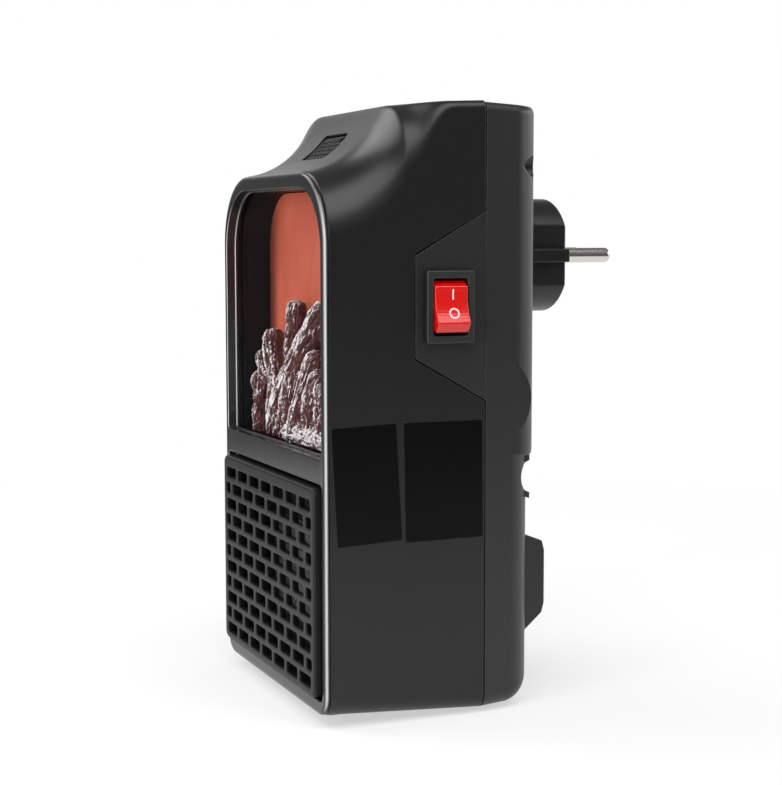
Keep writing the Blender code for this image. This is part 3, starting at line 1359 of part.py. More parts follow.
def make_plug():
    """Round mains plug with two flats and ribs, held in the rear wall by an inner flange."""
    first = REAR_Y + FIT_GAP
    plug = extruded("plug_body", [plug_section()], first, PLUG_FACE_Y,
                    FRONT_VIEW, "black_abs")
    bevel(plug, PLUG_EDGE, 2, RIM_ANGLE)
    rib_half = PLUG_RIB / 2
    rib = block("plug_rib", (-PLUG_RADIUS, PLUG_RADIUS), (first + PLUG_EDGE, PLUG_FACE_Y),
                (PLUG_HEIGHT - rib_half, PLUG_HEIGHT + rib_half))
    bevel(rib, PLUG_EDGE / 2, 1)
    neck = drum("plug_neck", PLUG_RADIUS - PLUG_NECK_INSET, (0, retainer_back() + FIT_GAP, PLUG_HEIGHT),
                (0, first + PLUG_EDGE * 2, PLUG_HEIGHT))
    join(plug, rib, neck)
    for x in pin_places():
        cut(plug, drum("pin_hole_%s" % ("left" if x < 0 else "right"), PIN_DIAMETER / 2 + FIT_GAP / 2,
                       (x, retainer_back() - OVERRUN, PLUG_HEIGHT), (x, PLUG_FACE_Y + OVERRUN, PLUG_HEIGHT),
                       steps=POST_STEPS))
    for number, z in enumerate(plug_screw_heights(), 1):
        cut(plug, drum("plug_pilot_%d" % number, PLUG_SCREW_RADIUS + FIT_GAP,
                       (0, retainer_back() - FIT_GAP, z),
                       (0, retainer_back() + PLUG_SCREW_LENGTH, z), steps=HOLE_STEPS))
    make_retainer()
    return plug


def retainer_back():
    """Rear face of the retainer, on the inside of the rear wall."""
    return LOWER_REAR_Y - WALL - FIT_GAP


def pin_places():
    return (-PIN_SPACING / 2, PIN_SPACING / 2)


def plug_screw_heights():
    return (PLUG_HEIGHT - PLUG_SCREW_OFFSET, PLUG_HEIGHT + PLUG_SCREW_OFFSET)


def make_retainer():
    """Disc inside the rear wall that two screws draw against the plug's neck."""
    back = retainer_back()
    radius = PLUG_RADIUS - PLUG_NECK_INSET + PLUG_FLANGE_LAP
    retainer = drum("plug_retainer", radius, (0, back - PLUG_FLANGE, PLUG_HEIGHT), (0, back, PLUG_HEIGHT),
                    "dark_abs")
    for x in pin_places():
        cut(retainer, drum("retainer_pin_%s" % ("left" if x < 0 else "right"),
                           PIN_DIAMETER / 2 + FIT_GAP / 2,
                           (x, back - OVERRUN, PLUG_HEIGHT), (x, back + OVERRUN, PLUG_HEIGHT),
                           steps=POST_STEPS))
    for number, z in enumerate(plug_screw_heights(), 1):
        cut(retainer, drum("retainer_hole_%d" % number, PLUG_SCREW_RADIUS + FIT_GAP, (0, back - OVERRUN, z),
                           (0, back + OVERRUN, z), steps=HOLE_STEPS))
        make_screw("plug_screw_%d" % number, back - PLUG_FLANGE - FIT_GAP, 0, z, PLUG_SCREW_RADIUS,
                   PLUG_SCREW_HEAD, SCREW_HEAD_HEIGHT, PLUG_SCREW_LENGTH, True)


def make_pins():
    """Two round pins with rounded tips, whose tails reach into the housing."""
    radius = PIN_DIAMETER / 2
    tail_y = retainer_back() - PLUG_FLANGE - PIN_TAIL
    length = PLUG_FACE_Y + PIN_LENGTH - tail_y
    tip = arc((radius - PIN_TIP_ROUND, length - PIN_TIP_ROUND), PIN_TIP_ROUND, 90, 0, TIP_STEPS)
    profile = [(0, length)] + tip + [(radius, 0), (0, 0)]
    for number, x in enumerate(pin_places(), 1):
        turned("plug_pin_%d" % number, profile, Vector((x, tail_y, PLUG_HEIGHT)), TO_REAR, PIN_STEPS,
               "nickel")


def make_switch():
    """Rocker switch: housing with a pocket, three terminals, and the rocker on its trunnions."""
    face_x = HALF_WIDTH
    loop = rounded(SWITCH_FLANGE_WIDTH, SWITCH_FLANGE_LENGTH, SWITCH_EDGE, (SWITCH_Y, SWITCH_HEIGHT), 2)
    first = face_x + FIT_GAP
    housing = extruded("switch_housing", [loop], first, first + SWITCH_FLANGE, SIDE_VIEW, "dark_abs")
    bevel(housing, SWITCH_EDGE, 2, RIM_ANGLE)
    half_y = SWITCH_BODY_WIDTH / 2
    half_z = SWITCH_BODY_LENGTH / 2
    body = block("switch_body", (first - SWITCH_BODY_DEPTH, first + SWITCH_EDGE),
                 (SWITCH_Y - half_y, SWITCH_Y + half_y), (SWITCH_HEIGHT - half_z, SWITCH_HEIGHT + half_z))
    join(housing, body)
    pocket_y = ROCKER_WIDTH / 2 + ROCKER_SIDE_GAP
    pocket_z = ROCKER_LENGTH / 2 + ROCKER_END_GAP
    top = first + SWITCH_FLANGE
    pocket = block("switch_pocket", (top - ROCKER_POCKET, top + OVERRUN),
                   (SWITCH_Y - pocket_y, SWITCH_Y + pocket_y),
                   (SWITCH_HEIGHT - pocket_z, SWITCH_HEIGHT + pocket_z))
    cut(housing, pocket)
    pivot_x = top - ROCKER_PIVOT_DEPTH
    reach = ROCKER_WIDTH / 2 + ROCKER_SIDE_GAP + TRUNNION_REACH
    cut(housing, drum("trunnion_seat", TRUNNION_RADIUS + RUNNING_GAP,
                      (pivot_x, SWITCH_Y - reach, SWITCH_HEIGHT),
                      (pivot_x, SWITCH_Y + reach, SWITCH_HEIGHT), steps=POST_STEPS))
    for number in range(TERMINALS):
        offset = (number - (TERMINALS - 1) / 2) * TERMINAL_PITCH
        root = first - SWITCH_BODY_DEPTH - FIT_GAP
        block("switch_terminal_%d" % (number + 1), (root - TERMINAL_LENGTH, root),
              (SWITCH_Y - TERMINAL_WIDTH / 2, SWITCH_Y + TERMINAL_WIDTH / 2),
              (SWITCH_HEIGHT + offset - TERMINAL_THICKNESS / 2,
               SWITCH_HEIGHT + offset + TERMINAL_THICKNESS / 2),
              "nickel")
    make_rocker(pivot_x, reach - FIT_GAP / 2)


def make_rocker(pivot_x, reach):
    """Rocker about its trunnions, tipped with its upper end pressed in."""
    half = ROCKER_LENGTH / 2
    crest = ROCKER_CREST
    dish = ROCKER_DISH
    nose = half * ROCKER_NOSE_SHARE
    loop = [(-ROCKER_SKIRT, -half * ROCKER_FOOT_SHARE), (-ROCKER_SKIRT, half * ROCKER_FOOT_SHARE)]
    loop += [(ROCKER_END, half), (crest, nose)]
    upper = [(crest - dish * math.cos(math.pi / 2 * k), nose * k) for k in ROCKER_DISH_SHARES]
    loop += upper + [(crest - dish, 0)] + [(x, -z) for x, z in reversed(upper)]
    loop += [(crest, -nose), (ROCKER_END, -half)]
    place = Vector((pivot_x, SWITCH_Y, SWITCH_HEIGHT))
    rocker = extruded("switch_rocker", [loop], -ROCKER_WIDTH / 2, ROCKER_WIDTH / 2, FRONT_VIEW, "lamp_red")
    tilt = Matrix.Rotation(-ROCKER_TILT, 4, "Y")
    rocker.matrix_world = Matrix.Translation(place) @ tilt @ rocker.matrix_world
    trunnions = drum("rocker_trunnions", TRUNNION_RADIUS, (0, -reach, 0), (0, reach, 0), steps=HOLE_STEPS)
    trunnions.matrix_world = Matrix.Translation(place)
    join(rocker, trunnions)
    return rocker


def board_front():
    return FRONT_Y + BOARD_BEHIND


def make_control_board():
    """Control board on posts of its own, with its relay and capacitor."""
    front = board_front()
    left, right = BOARD_SHIFT - BOARD_WIDTH / 2, BOARD_SHIFT + BOARD_WIDTH / 2
    board = block("control_board", (left, right), (front, front + BOARD_THICKNESS),
                  (BOARD_LOW, BOARD_LOW + BOARD_RISE),
                  "board_green")
    for number, (x, z) in enumerate(board_corners(), 1):
        cut(board, drum("board_hole_%d" % number, MOUNT_SCREW_RADIUS + FIT_GAP, (x, front - OVERRUN, z),
                        (x, front + OVERRUN, z), steps=HOLE_STEPS))
        make_screw("board_screw_%d" % number, front + BOARD_THICKNESS + FIT_GAP, x, z, MOUNT_SCREW_RADIUS,
                   MOUNT_SCREW_HEAD, MOUNT_SCREW_HEAD / 2, MOUNT_SCREW_LENGTH)
    back = front + BOARD_THICKNESS + FIT_GAP
    low = BOARD_LOW + BOARD_RISE / 2
    block("relay", (left + BOARD_MARGIN, left + BOARD_MARGIN + RELAY_WIDTH), (back, back + RELAY_DEPTH),
          (low, low + RELAY_RISE), "board_blue")
    x = right - BOARD_MARGIN - CAPACITOR_RADIUS
    can = drum("capacitor", CAPACITOR_RADIUS, (x, back, low), (x, back + CAPACITOR_LENGTH, low),
               "heater_black",
               PIN_STEPS)
    bevel(can, CAPACITOR_EDGE, 1)


def board_corners():
    """Two screw places on opposite corners of the board."""
    reach = BOARD_WIDTH / 2 - BOARD_POST
    return ((BOARD_SHIFT - reach, BOARD_LOW + BOARD_RISE - BOARD_POST),
            (BOARD_SHIFT + reach, BOARD_LOW + BOARD_POST))


def lamp_board_back():
    return liner_front() + LINER_DEPTH - LINER_WALL - FIT_GAP


def make_lamps():
    """Lamp board on the firebox's back plate, with its row of lamps facing the flame screen."""
    back = lamp_board_back()
    front = back - BOARD_THICKNESS
    half = LAMP_BOARD_WIDTH / 2
    block("lamp_board", (-half, half), (front, back), (LAMP_BOARD_LOW, LAMP_BOARD_LOW + LAMP_BOARD_RISE),
          "board_green")
    height = LAMP_BOARD_LOW + LAMP_BOARD_RISE / 2
    profile = [(0, LAMP_LENGTH)] + arc((0, LAMP_LENGTH - LAMP_RADIUS), LAMP_RADIUS, 90, 0,
                                       LAMP_TIP_STEPS)[1:]
    profile += [(LAMP_RADIUS, 0), (0, 0)]
    for number in range(LAMPS):
        x = (number - (LAMPS - 1) / 2) * LAMP_PITCH
        turned("lamp_%d" % (number + 1), profile, Vector((x, front - FIT_GAP, height)), TO_FRONT,
               LAMP_STEPS, "flame_orange")


def make_cutout():
    """Disc thermostat on top of the duct, with two blades."""
    foot = DUCT_HEIGHT + DUCT_RISE / 2 + FIT_GAP
    y = (duct_front() + fan_front()) / 2
    disc = drum("thermal_cutout", CUTOUT_RADIUS, (CUTOUT_SHIFT, y, foot),
                (CUTOUT_SHIFT, y, foot + CUTOUT_LENGTH),
                "heater_black", HUB_STEPS)
    for side in (-1, 1):
        tip = CUTOUT_SHIFT + side * (CUTOUT_RADIUS + CUTOUT_BLADE_REACH)
        root = CUTOUT_SHIFT + side * CUTOUT_RADIUS / 2
        join(disc, block("cutout_blade_%s" % ("left" if side < 0 else "right"),
                         (min(tip, root), max(tip, root)),
                         (y - TAB_WIDTH / 2, y + TAB_WIDTH / 2),
                         (foot + CUTOUT_LENGTH / 2 - TERMINAL_THICKNESS / 2,
                          foot + CUTOUT_LENGTH / 2 + TERMINAL_THICKNESS / 2)))
    return disc


def switch_terminal_end():
    return HALF_WIDTH - SWITCH_BODY_DEPTH - TERMINAL_LENGTH - FIT_GAP


def tab_end(name):
    """Where a wire meets an electrode's tab."""
    for label, x, z in electrode_tabs():
        if label == name:
            return x, heater_front() + HEATER_THICKNESS + TAB_REACH + FIT_GAP, z
    return None


def cutout_end(side):
    reach = CUTOUT_RADIUS + CUTOUT_BLADE_REACH + FIT_GAP
    foot = DUCT_HEIGHT + DUCT_RISE / 2 + FIT_GAP
    return CUTOUT_SHIFT + side * reach, (duct_front() + fan_front()) / 2, foot + CUTOUT_LENGTH / 2


def board_point(shares):
    """A solder point on the rear of the control board."""
    across, up = shares
    return (BOARD_SHIFT + across * BOARD_WIDTH, board_front() + BOARD_THICKNESS + FIT_GAP,
            BOARD_LOW + up * BOARD_RISE)


def make_wires():
    """Leads between the pins, the switch, the board, the heater, the fan motor and the lamps."""
    left, right = pin_places()
    pin_y = retainer_back() - PLUG_FLANGE - PIN_TAIL - FIT_GAP
    switch_x = switch_terminal_end()
    motor_y = motor_front() + MOTOR_LENGTH + FIT_GAP
    motor_z = DUCT_HEIGHT + MOTOR_BOSS
    lead_x = BOARD_SHIFT
    routes = (
        ("wire_live", (right, pin_y, PLUG_HEIGHT), LIVE_ROUTE,
         (switch_x, SWITCH_Y, SWITCH_HEIGHT + TERMINAL_PITCH), "wire_brown"),
        ("wire_switched", (switch_x, SWITCH_Y, SWITCH_HEIGHT), SWITCHED_ROUTE,
         board_point(SWITCHED_POINT_SHARES), "wire_brown"),
        ("wire_neutral", (left, pin_y, PLUG_HEIGHT), NEUTRAL_ROUTE, board_point(NEUTRAL_POINT_SHARES),
         "wire_blue"),
        ("wire_heater_low", tab_end("electrode_low"), HEATER_LOW_ROUTE, board_point(HEATER_POINT_SHARES),
         "wire_blue"),
        ("wire_heater_high", tab_end("electrode_high"), HEATER_HIGH_ROUTE, cutout_end(-1), "wire_brown"),
        ("wire_cutout", cutout_end(1), CUTOUT_ROUTE, board_point(CUTOUT_POINT_SHARES), "wire_brown"),
        ("wire_motor_1", (-MOTOR_BOSS, motor_y, motor_z), MOTOR_ROUTE_LEFT,
         board_point(MOTOR_LEFT_POINT_SHARES), "wire_red"),
        ("wire_motor_2", (MOTOR_BOSS, motor_y, motor_z), MOTOR_ROUTE_RIGHT,
         board_point(MOTOR_RIGHT_POINT_SHARES), "heater_black"),
        ("wire_lamps", (lead_x, lamp_board_back() + FIT_GAP, LAMP_LEAD_HEIGHT), LAMP_ROUTE,
         (lead_x, board_front() - FIT_GAP, LAMP_LEAD_HEIGHT), "wire_red"),
    )
    for name, start, middle, end, surface in routes:
        wire(name, (start, *middle, end), WIRE_RADIUS, surface)


def build():
    make_front_shell()
    make_rear_shell()
    make_shell_screws()
    make_bezel()
    make_pane()
    make_liner()
    make_screen()
    make_logs()
    make_grille()
    make_top_vent()
    make_duct()
    make_heater()
    make_shroud()
    make_motor()
    make_impeller()
    make_plug()
    make_pins()
    make_switch()
    make_control_board()
    make_lamps()
    make_cutout()
    make_wires()


build()
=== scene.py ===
"""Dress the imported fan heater: moulded shells, window with its logs, grille, rocker switch and plug.

Metres, +Z up, the window and the grille face -Y, the plug faces +Y and the switch is on +X.
"""

import logging
import math
from dataclasses import dataclass
from enum import Enum
from typing import Callable, Sequence

import bmesh
import bpy
from mathutils import Matrix, Vector, noise
from mathutils.bvhtree import BVHTree


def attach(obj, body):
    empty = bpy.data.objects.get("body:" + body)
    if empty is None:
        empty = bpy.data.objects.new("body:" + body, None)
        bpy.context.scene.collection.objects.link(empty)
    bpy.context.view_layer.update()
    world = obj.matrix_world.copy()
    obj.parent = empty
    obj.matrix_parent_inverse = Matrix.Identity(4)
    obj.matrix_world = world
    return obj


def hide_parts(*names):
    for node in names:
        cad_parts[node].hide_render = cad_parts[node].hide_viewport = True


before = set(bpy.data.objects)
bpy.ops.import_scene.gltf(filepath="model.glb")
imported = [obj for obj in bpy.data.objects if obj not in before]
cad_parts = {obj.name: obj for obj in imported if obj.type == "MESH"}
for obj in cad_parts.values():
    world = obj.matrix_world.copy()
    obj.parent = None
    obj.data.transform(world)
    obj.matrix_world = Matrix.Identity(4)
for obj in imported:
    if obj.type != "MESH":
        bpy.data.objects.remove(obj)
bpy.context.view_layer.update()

LOG = logging.getLogger("fan_heater")
HOUSING = "housing"
MM = 0.001
# Angle from which an edge stays sharp, how far cutters run past a face, steps of round forms, weld distance
SHARP = math.radians(32.0)
OVERRUN = 0.0060
ROUND_STEPS = 56
HOLE_STEPS = 28
WELD = 0.00001
# Check of each Boolean: tries, the move between two tries, spare share of volume, and the depth of a leftover
TRIES = 5
HAIR = 0.000002
VOLUME_SPARE = 0.004
STRAY = 0.0003

Loop = Sequence[tuple[float, float]]
Point = tuple[float, float, float]
Section = Sequence[tuple[float, float]]


class Axis(Enum):
    """The axis that a flat outline is given thickness along."""
    X = "x"
    Y = "y"
    Z = "z"

    def point(self, u: float, v: float, w: float) -> Vector:
        """The outline's point (u, v) at w along the axis."""
        if self is Axis.X:
            return Vector((w, u, v))
        if self is Axis.Y:
            return Vector((u, w, v))
        return Vector((u, v, w))


def linear(hex_colour: str) -> tuple[float, float, float, float]:
    """Turn an sRGB hex colour to linear.

    Args:
        hex_colour: six hex digits, with or without a leading #.

    Returns:
        Linear red, green, blue and an alpha of 1.
    """
    digits = hex_colour.lstrip("#")
    parts = [int(digits[i:i + 2], 16) / 255 for i in (0, 2, 4)]
    red, green, blue = (p / 12.92 if p <= 0.04045 else ((p + 0.055) / 1.055) ** 2.4 for p in parts)
    return red, green, blue, 1.0


def per_mm(size: float) -> float:
    """Texture scale that repeats once in a size in millimetres."""
    return 1 / (size * MM)


def put(node: bpy.types.Node, settings: dict) -> None:
    """Set values by socket name or number, or by property name; "ramp" holds a colour ramp's stops."""
    for key, value in settings.items():
        if key == "ramp":
            stops = node.color_ramp.elements
            while len(stops) < len(value):
                stops.new(0.5)
            for stop, (place, colour) in zip(stops, value):
                stop.position = place
                stop.color = linear(colour)
        elif isinstance(key, int) or key in node.inputs:
            node.inputs[key].default_value = value
        else:
            setattr(node, key, value)


def link(tree: bpy.types.NodeTree, node: bpy.types.Node, links: dict) -> None:
    """Feed sockets, by name or number; a node as the source stands for its first output."""
    for key, source in links.items():
        tree.links.new(source.outputs[0] if isinstance(source, bpy.types.Node) else source, node.inputs[key])


def add_node(tree: bpy.types.NodeTree, kind: str, settings: dict | None = None,
             links: dict | None = None) -> bpy.types.Node:
    """Add a node with its settings and links.

    Args:
        tree: the node tree.
        kind: the node's type name after "ShaderNode".
        settings: as put takes them.
        links: as link takes them.

    Returns:
        The node.
    """
    node = tree.nodes.new("ShaderNode" + kind)
    put(node, settings or {})
    link(tree, node, links or {})
    return node


# Finishes ---------------------------------------------------------------------------------------

@dataclass(frozen=True)
class Finish:
    """A named surface. Its shade method wires the look into a Principled shader."""
    name: str
    colour: str
    roughness: float

    def material(self) -> bpy.types.Material:
        """The material, made once.

        Returns:
            The Blender material of this finish.
        """
        material = bpy.data.materials.get(self.name)
        if material is None:
            material = bpy.data.materials.new(self.name)
            material.use_nodes = True
            tree = material.node_tree
            shader = tree.nodes["Principled BSDF"]
            put(shader, {"Base Color": linear(self.colour), "Roughness": self.roughness})
            self.shade(tree, shader)
        return material

    def shade(self, tree: bpy.types.NodeTree, shader: bpy.types.Node) -> None:
        """Wire the look; a plain finish leaves the shader as it is."""


@dataclass(frozen=True)
class MouldedPlastic(Finish):
    """Plastic from a spark-eroded mould, or plated metal: grain, clouds in its gloss, edges lighter by wear.

    The lighter edge colour shows on sharp edges by wear, and on upright corners that face aslant as a painted
    highlight.
    """
    cloud: str = "1b1c1e"
    # Colour of edges lighter by wear, and of the painted highlight on aslant corners
    wear_and_highlight: str = "3a3b3e"
    grain_mm: float = 0.7
    grain_depth_mm: float = 0.02
    grain_strength: float = 0.25
    cloud_mm: float = 26.0
    swing: float = 0.06
    edge_mm: float = 0.35
    wear: float = 0.5
    ior: float = 1.5
    metallic: float = 0.0
    specular: float = 0.5
    # Strength of the painted highlight on upright corners that face aslant
    corner_highlight: float = 0.0
    stretch: Point = (1.0, 1.0, 1.0)

    def shade(self, tree: bpy.types.NodeTree, shader: bpy.types.Node) -> None:
        """Clouds of colour and gloss, lighter edges by wear, a painted highlight on aslant corners, and grain
        on softened edges.
        """
        put(shader, {"Metallic": self.metallic})
        if not self.metallic:
            put(shader, {"IOR": self.ior, "Specular IOR Level": self.specular})
        coords = add_node(tree, "TexCoord")
        place = add_node(tree, "Mapping", {"Scale": self.stretch}, {"Vector": coords.outputs["Object"]})
        clouds = add_node(tree, "TexNoise",
                          {"Scale": per_mm(self.cloud_mm), "Detail": 5.0, "Roughness": 0.62},
                          {"Vector": place})
        tint = add_node(tree, "Mix", {"data_type": "RGBA", 6: linear(self.colour),
                                      7: linear(self.cloud)}, {0: clouds})
        soft = add_node(tree, "Bevel", {"samples": 4, "Radius": self.edge_mm * MM})
        flat = add_node(tree, "NewGeometry")
        same = add_node(tree, "VectorMath", {"operation": "DOT_PRODUCT"},
                        {0: soft, 1: flat.outputs["Normal"]})
        edge = add_node(tree, "MapRange", {"From Min": 0.985, "From Max": 0.88},
                        {"Value": same.outputs["Value"]})
        patches = add_node(tree, "TexNoise",
                           {"Scale": per_mm(self.cloud_mm / 7), "Detail": 6.0, "Roughness": 0.7},
                           {"Vector": place})
        rub = add_node(tree, "Math", {"operation": "MULTIPLY"}, {0: edge, 1: patches})
        amount = add_node(tree, "Math", {"operation": "MULTIPLY", 1: self.wear}, {0: rub})
        # Painted highlight: upright corners that face aslant take the lighter edge colour
        axes = add_node(tree, "SeparateXYZ", None, {0: flat.outputs["Normal"]})
        slant = add_node(tree, "Math", {"operation": "MULTIPLY"},
                         {0: axes.outputs["X"], 1: axes.outputs["Y"]})
        either = add_node(tree, "Math", {"operation": "ABSOLUTE"}, {0: slant})
        corner = add_node(tree, "MapRange",
                          {"From Min": 0.30, "From Max": 0.48, "To Max": self.corner_highlight},
                          {"Value": either})
        wear_and_highlight_amount = add_node(tree, "Math", {"operation": "MAXIMUM"}, {0: amount, 1: corner})
        colour = add_node(tree, "Mix", {"data_type": "RGBA", 7: linear(self.wear_and_highlight)},
                          {0: wear_and_highlight_amount, 6: tint.outputs[2]})
        gloss = add_node(tree, "MapRange",
                         {"To Min": self.roughness - self.swing, "To Max": self.roughness + self.swing},
                         {"Value": patches})
        grain = add_node(tree, "TexNoise",
                         {"Scale": per_mm(self.grain_mm), "Detail": 3.0, "Roughness": 0.55},
                         {"Vector": place})
        bump = add_node(tree, "Bump",
                        {"Strength": self.grain_strength, "Distance": self.grain_depth_mm * MM},
                        {"Height": grain, "Normal": soft})
        link(tree, shader, {"Base Color": colour.outputs[2], "Roughness": gloss, "Normal": bump})


@dataclass(frozen=True)
class TintedLens(MouldedPlastic):
    """Coloured polycarbonate: light goes a little way in, and a painted glow in its own colour shines under a
    clear gloss.
    """
    depth_mm: float = 1.2
    rib_mm: float = 0.9
    # Strength of the painted glow in the lens's own colour
    glow: float = 0.13

    def shade(self, tree: bpy.types.NodeTree, shader: bpy.types.Node) -> None:
        """Moulded look, with light scattered inside, a painted glow, a clear gloss and fine level ribs."""
        super().shade(tree, shader)
        # The emission in the lens's own colour is a painted glow
        put(shader, {"Subsurface Weight": 0.35, "Subsurface Radius": (self.depth_mm * MM, 0.1 * MM, 0.1 * MM),
                     "Coat Weight": 0.35, "Coat Roughness": 0.08,
                     "Emission Color": linear(self.colour), "Emission Strength": self.glow})
        coords = add_node(tree, "TexCoord")
        pitch = math.pi / 10 / (self.rib_mm * MM)
        ribs = add_node(tree, "TexWave", {"wave_type": "BANDS", "bands_direction": "Z", "Distortion": 0.0,
                                          "Scale": pitch}, {"Vector": coords.outputs["Object"]})
        furrows = add_node(tree, "Bump", {"Strength": 0.35, "Distance": 0.06 * MM},
                           {"Height": ribs.outputs["Fac"]})
        link(tree, shader, {"Normal": furrows})


@dataclass(frozen=True)
class ClearPane(Finish):
    """Cast acrylic sheet: nearly unseen, with a thin gloss and a few specks of dust."""
    opacity: float = 0.07
    speck_mm: float = 3.0
    haze_mm: float = 18.0
    ior: float = 1.49

    def shade(self, tree: bpy.types.NodeTree, shader: bpy.types.Node) -> None:
        """Mostly see-through, with specks and a faint haze."""
        put(shader, {"IOR": self.ior})
        coords = add_node(tree, "TexCoord")
        specks = add_node(tree, "TexVoronoi", {"Scale": per_mm(self.speck_mm)},
                          {"Vector": coords.outputs["Object"]})
        dots = add_node(tree, "MapRange", {"From Min": 0.05, "From Max": 0.02}, {"Value": specks})
        haze = add_node(tree, "TexNoise", {"Scale": per_mm(self.haze_mm), "Detail": 4.0},
                        {"Vector": coords.outputs["Object"]})
        veil = add_node(tree, "MapRange", {"To Min": self.opacity * 0.6, "To Max": self.opacity * 1.5},
                        {"Value": haze})
        total = add_node(tree, "Math", {"operation": "MULTIPLY_ADD", 1: 0.25}, {0: dots, 2: veil})
        link(tree, shader, {"Alpha": total})


@dataclass(frozen=True)
class FlameFilm(Finish):
    """Translucent orange diffuser: milky colour with soft upright clouds, darker towards both sides as
    painted shade, warm from behind by a painted glow.
    """
    deep: str = "a04a35"
    pale: str = "c2614b"
    # Colour of the painted shade towards both sides
    rim: str = "3a1a16"
    # Half width of the sheet; width and strength of the painted shade at both sides
    half: float = 0.0426
    dim_mm: float = 11.0
    dimming: float = 0.85
    cloud_mm: float = 15.0
    # Strength of the painted glow
    glow: float = 0.22

    def shade(self, tree: bpy.types.NodeTree, shader: bpy.types.Node) -> None:
        """Upright clouds from deep to pale orange, painted shade towards both sides, a fine matt grain, and a
        painted glow for light let through.
        """
        coords = add_node(tree, "TexCoord")
        tall = add_node(tree, "Mapping", {"Scale": (1.0, 1.0, 0.38)},
                        {"Vector": coords.outputs["Object"]})
        clouds = add_node(tree, "TexNoise",
                          {"Scale": per_mm(self.cloud_mm), "Detail": 3.0, "Roughness": 0.5,
                           "Distortion": 0.4}, {"Vector": tall})
        ramp = add_node(tree, "ValToRGB",
                        {"ramp": ((0.25, self.deep), (0.52, self.colour), (0.78, self.pale))},
                        {"Fac": clouds})
        # Painted shade: darker towards both sides of the sheet
        axes = add_node(tree, "SeparateXYZ", None, {0: coords.outputs["Object"]})
        aside = add_node(tree, "Math", {"operation": "ABSOLUTE"}, {0: axes.outputs["X"]})
        border = add_node(tree, "MapRange",
                          {"interpolation_type": "SMOOTHSTEP", "From Min": self.half - self.dim_mm * MM,
                           "From Max": self.half, "To Max": self.dimming}, {"Value": aside})
        warm = add_node(tree, "Mix", {"data_type": "RGBA", 7: linear(self.rim)}, {0: border, 6: ramp})
        grain = add_node(tree, "TexNoise", {"Scale": per_mm(0.6), "Detail": 2.0},
                         {"Vector": coords.outputs["Object"]})
        bump = add_node(tree, "Bump", {"Strength": 0.2, "Distance": 0.02 * MM}, {"Height": grain})
        gloss = add_node(tree, "MapRange",
                         {"To Min": self.roughness - 0.06, "To Max": self.roughness + 0.08},
                         {"Value": clouds})
        # The emission is a painted glow in place of light from behind
        put(shader, {"Emission Strength": self.glow})
        link(tree, shader, {"Base Color": warm.outputs[2], "Emission Color": warm.outputs[2],
                            "Roughness": gloss, "Normal": bump})


@dataclass(frozen=True)
class CastBark(Finish):
    """Cast resin painted as burnt logs: dark in the cracks, brown flanks, pale ash dragged over ridges, more
    of it on faces turned up, left and forward.
    """
    dark: str = "160d0f"
    ash: str = "efecef"
    mauve: str = "7d5a5a"
    crack_mm: float = 1.3
    # Direction that the faces with more ash are turned to
    ash_facing: Point = (-0.78, -0.34, 0.52)

    def shade(self, tree: bpy.types.NodeTree, shader: bpy.types.Node) -> None:
        """Paint by the height of the bark, broken up by grain that runs along each log."""
        along = add_node(tree, "Attribute", {"attribute_name": "bark_coords"})
        height = add_node(tree, "Attribute", {"attribute_name": "bark_height"})
        fibre = add_node(tree, "TexNoise",
                         {"Scale": 1.2 / self.crack_mm, "Detail": 8.0, "Roughness": 0.78,
                          "Distortion": 0.6}, {"Vector": along.outputs["Vector"]})
        body = add_node(tree, "ValToRGB",
                        {"ramp": ((0.34, self.dark), (0.50, self.colour), (0.66, self.mauve))},
                        {"Fac": fibre})
        coords = add_node(tree, "TexCoord")
        speckle = add_node(tree, "TexNoise", {"Scale": per_mm(0.9), "Detail": 8.0, "Roughness": 0.85},
                           {"Vector": coords.outputs["Object"]})
        strong = add_node(tree, "Math", {"operation": "MULTIPLY", 1: 2.0}, {0: speckle})
        raised = add_node(tree, "Math", {"operation": "MULTIPLY_ADD", 1: 0.5},
                          {0: height.outputs["Fac"], 2: strong})
        rough = add_node(tree, "Math", {"operation": "ADD"}, {0: raised, 1: fibre})
        faces = add_node(tree, "NewGeometry")
        # More ash on faces turned up, left and forward
        facing = add_node(tree, "VectorMath", {"operation": "DOT_PRODUCT", 1: self.ash_facing},
                          {0: faces.outputs["Normal"]})
        ash_level = add_node(tree, "Math", {"operation": "MULTIPLY_ADD", 1: 0.42},
                           {0: facing.outputs["Value"], 2: rough})
        dusted = add_node(tree, "MapRange", {"From Min": 1.82, "From Max": 1.98}, {"Value": ash_level})
        paint = add_node(tree, "Mix", {"data_type": "RGBA", 7: linear(self.ash)}, {0: dusted, 6: body})
        low = add_node(tree, "MapRange", {"From Min": 0.34, "From Max": 0.06},
                       {"Value": height.outputs["Fac"]})
        final = add_node(tree, "Mix", {"data_type": "RGBA", 7: linear(self.dark)},
                         {0: low, 6: paint.outputs[2]})
        relief = add_node(tree, "Math", {"operation": "ADD"}, {0: fibre, 1: speckle})
        bump = add_node(tree, "Bump", {"Strength": 0.8, "Distance": 0.35 * MM}, {"Height": relief})
        gloss = add_node(tree, "MapRange", {"To Min": 0.72, "To Max": 0.95}, {"Value": speckle})
        link(tree, shader, {"Base Color": final.outputs[2], "Roughness": gloss, "Normal": bump})


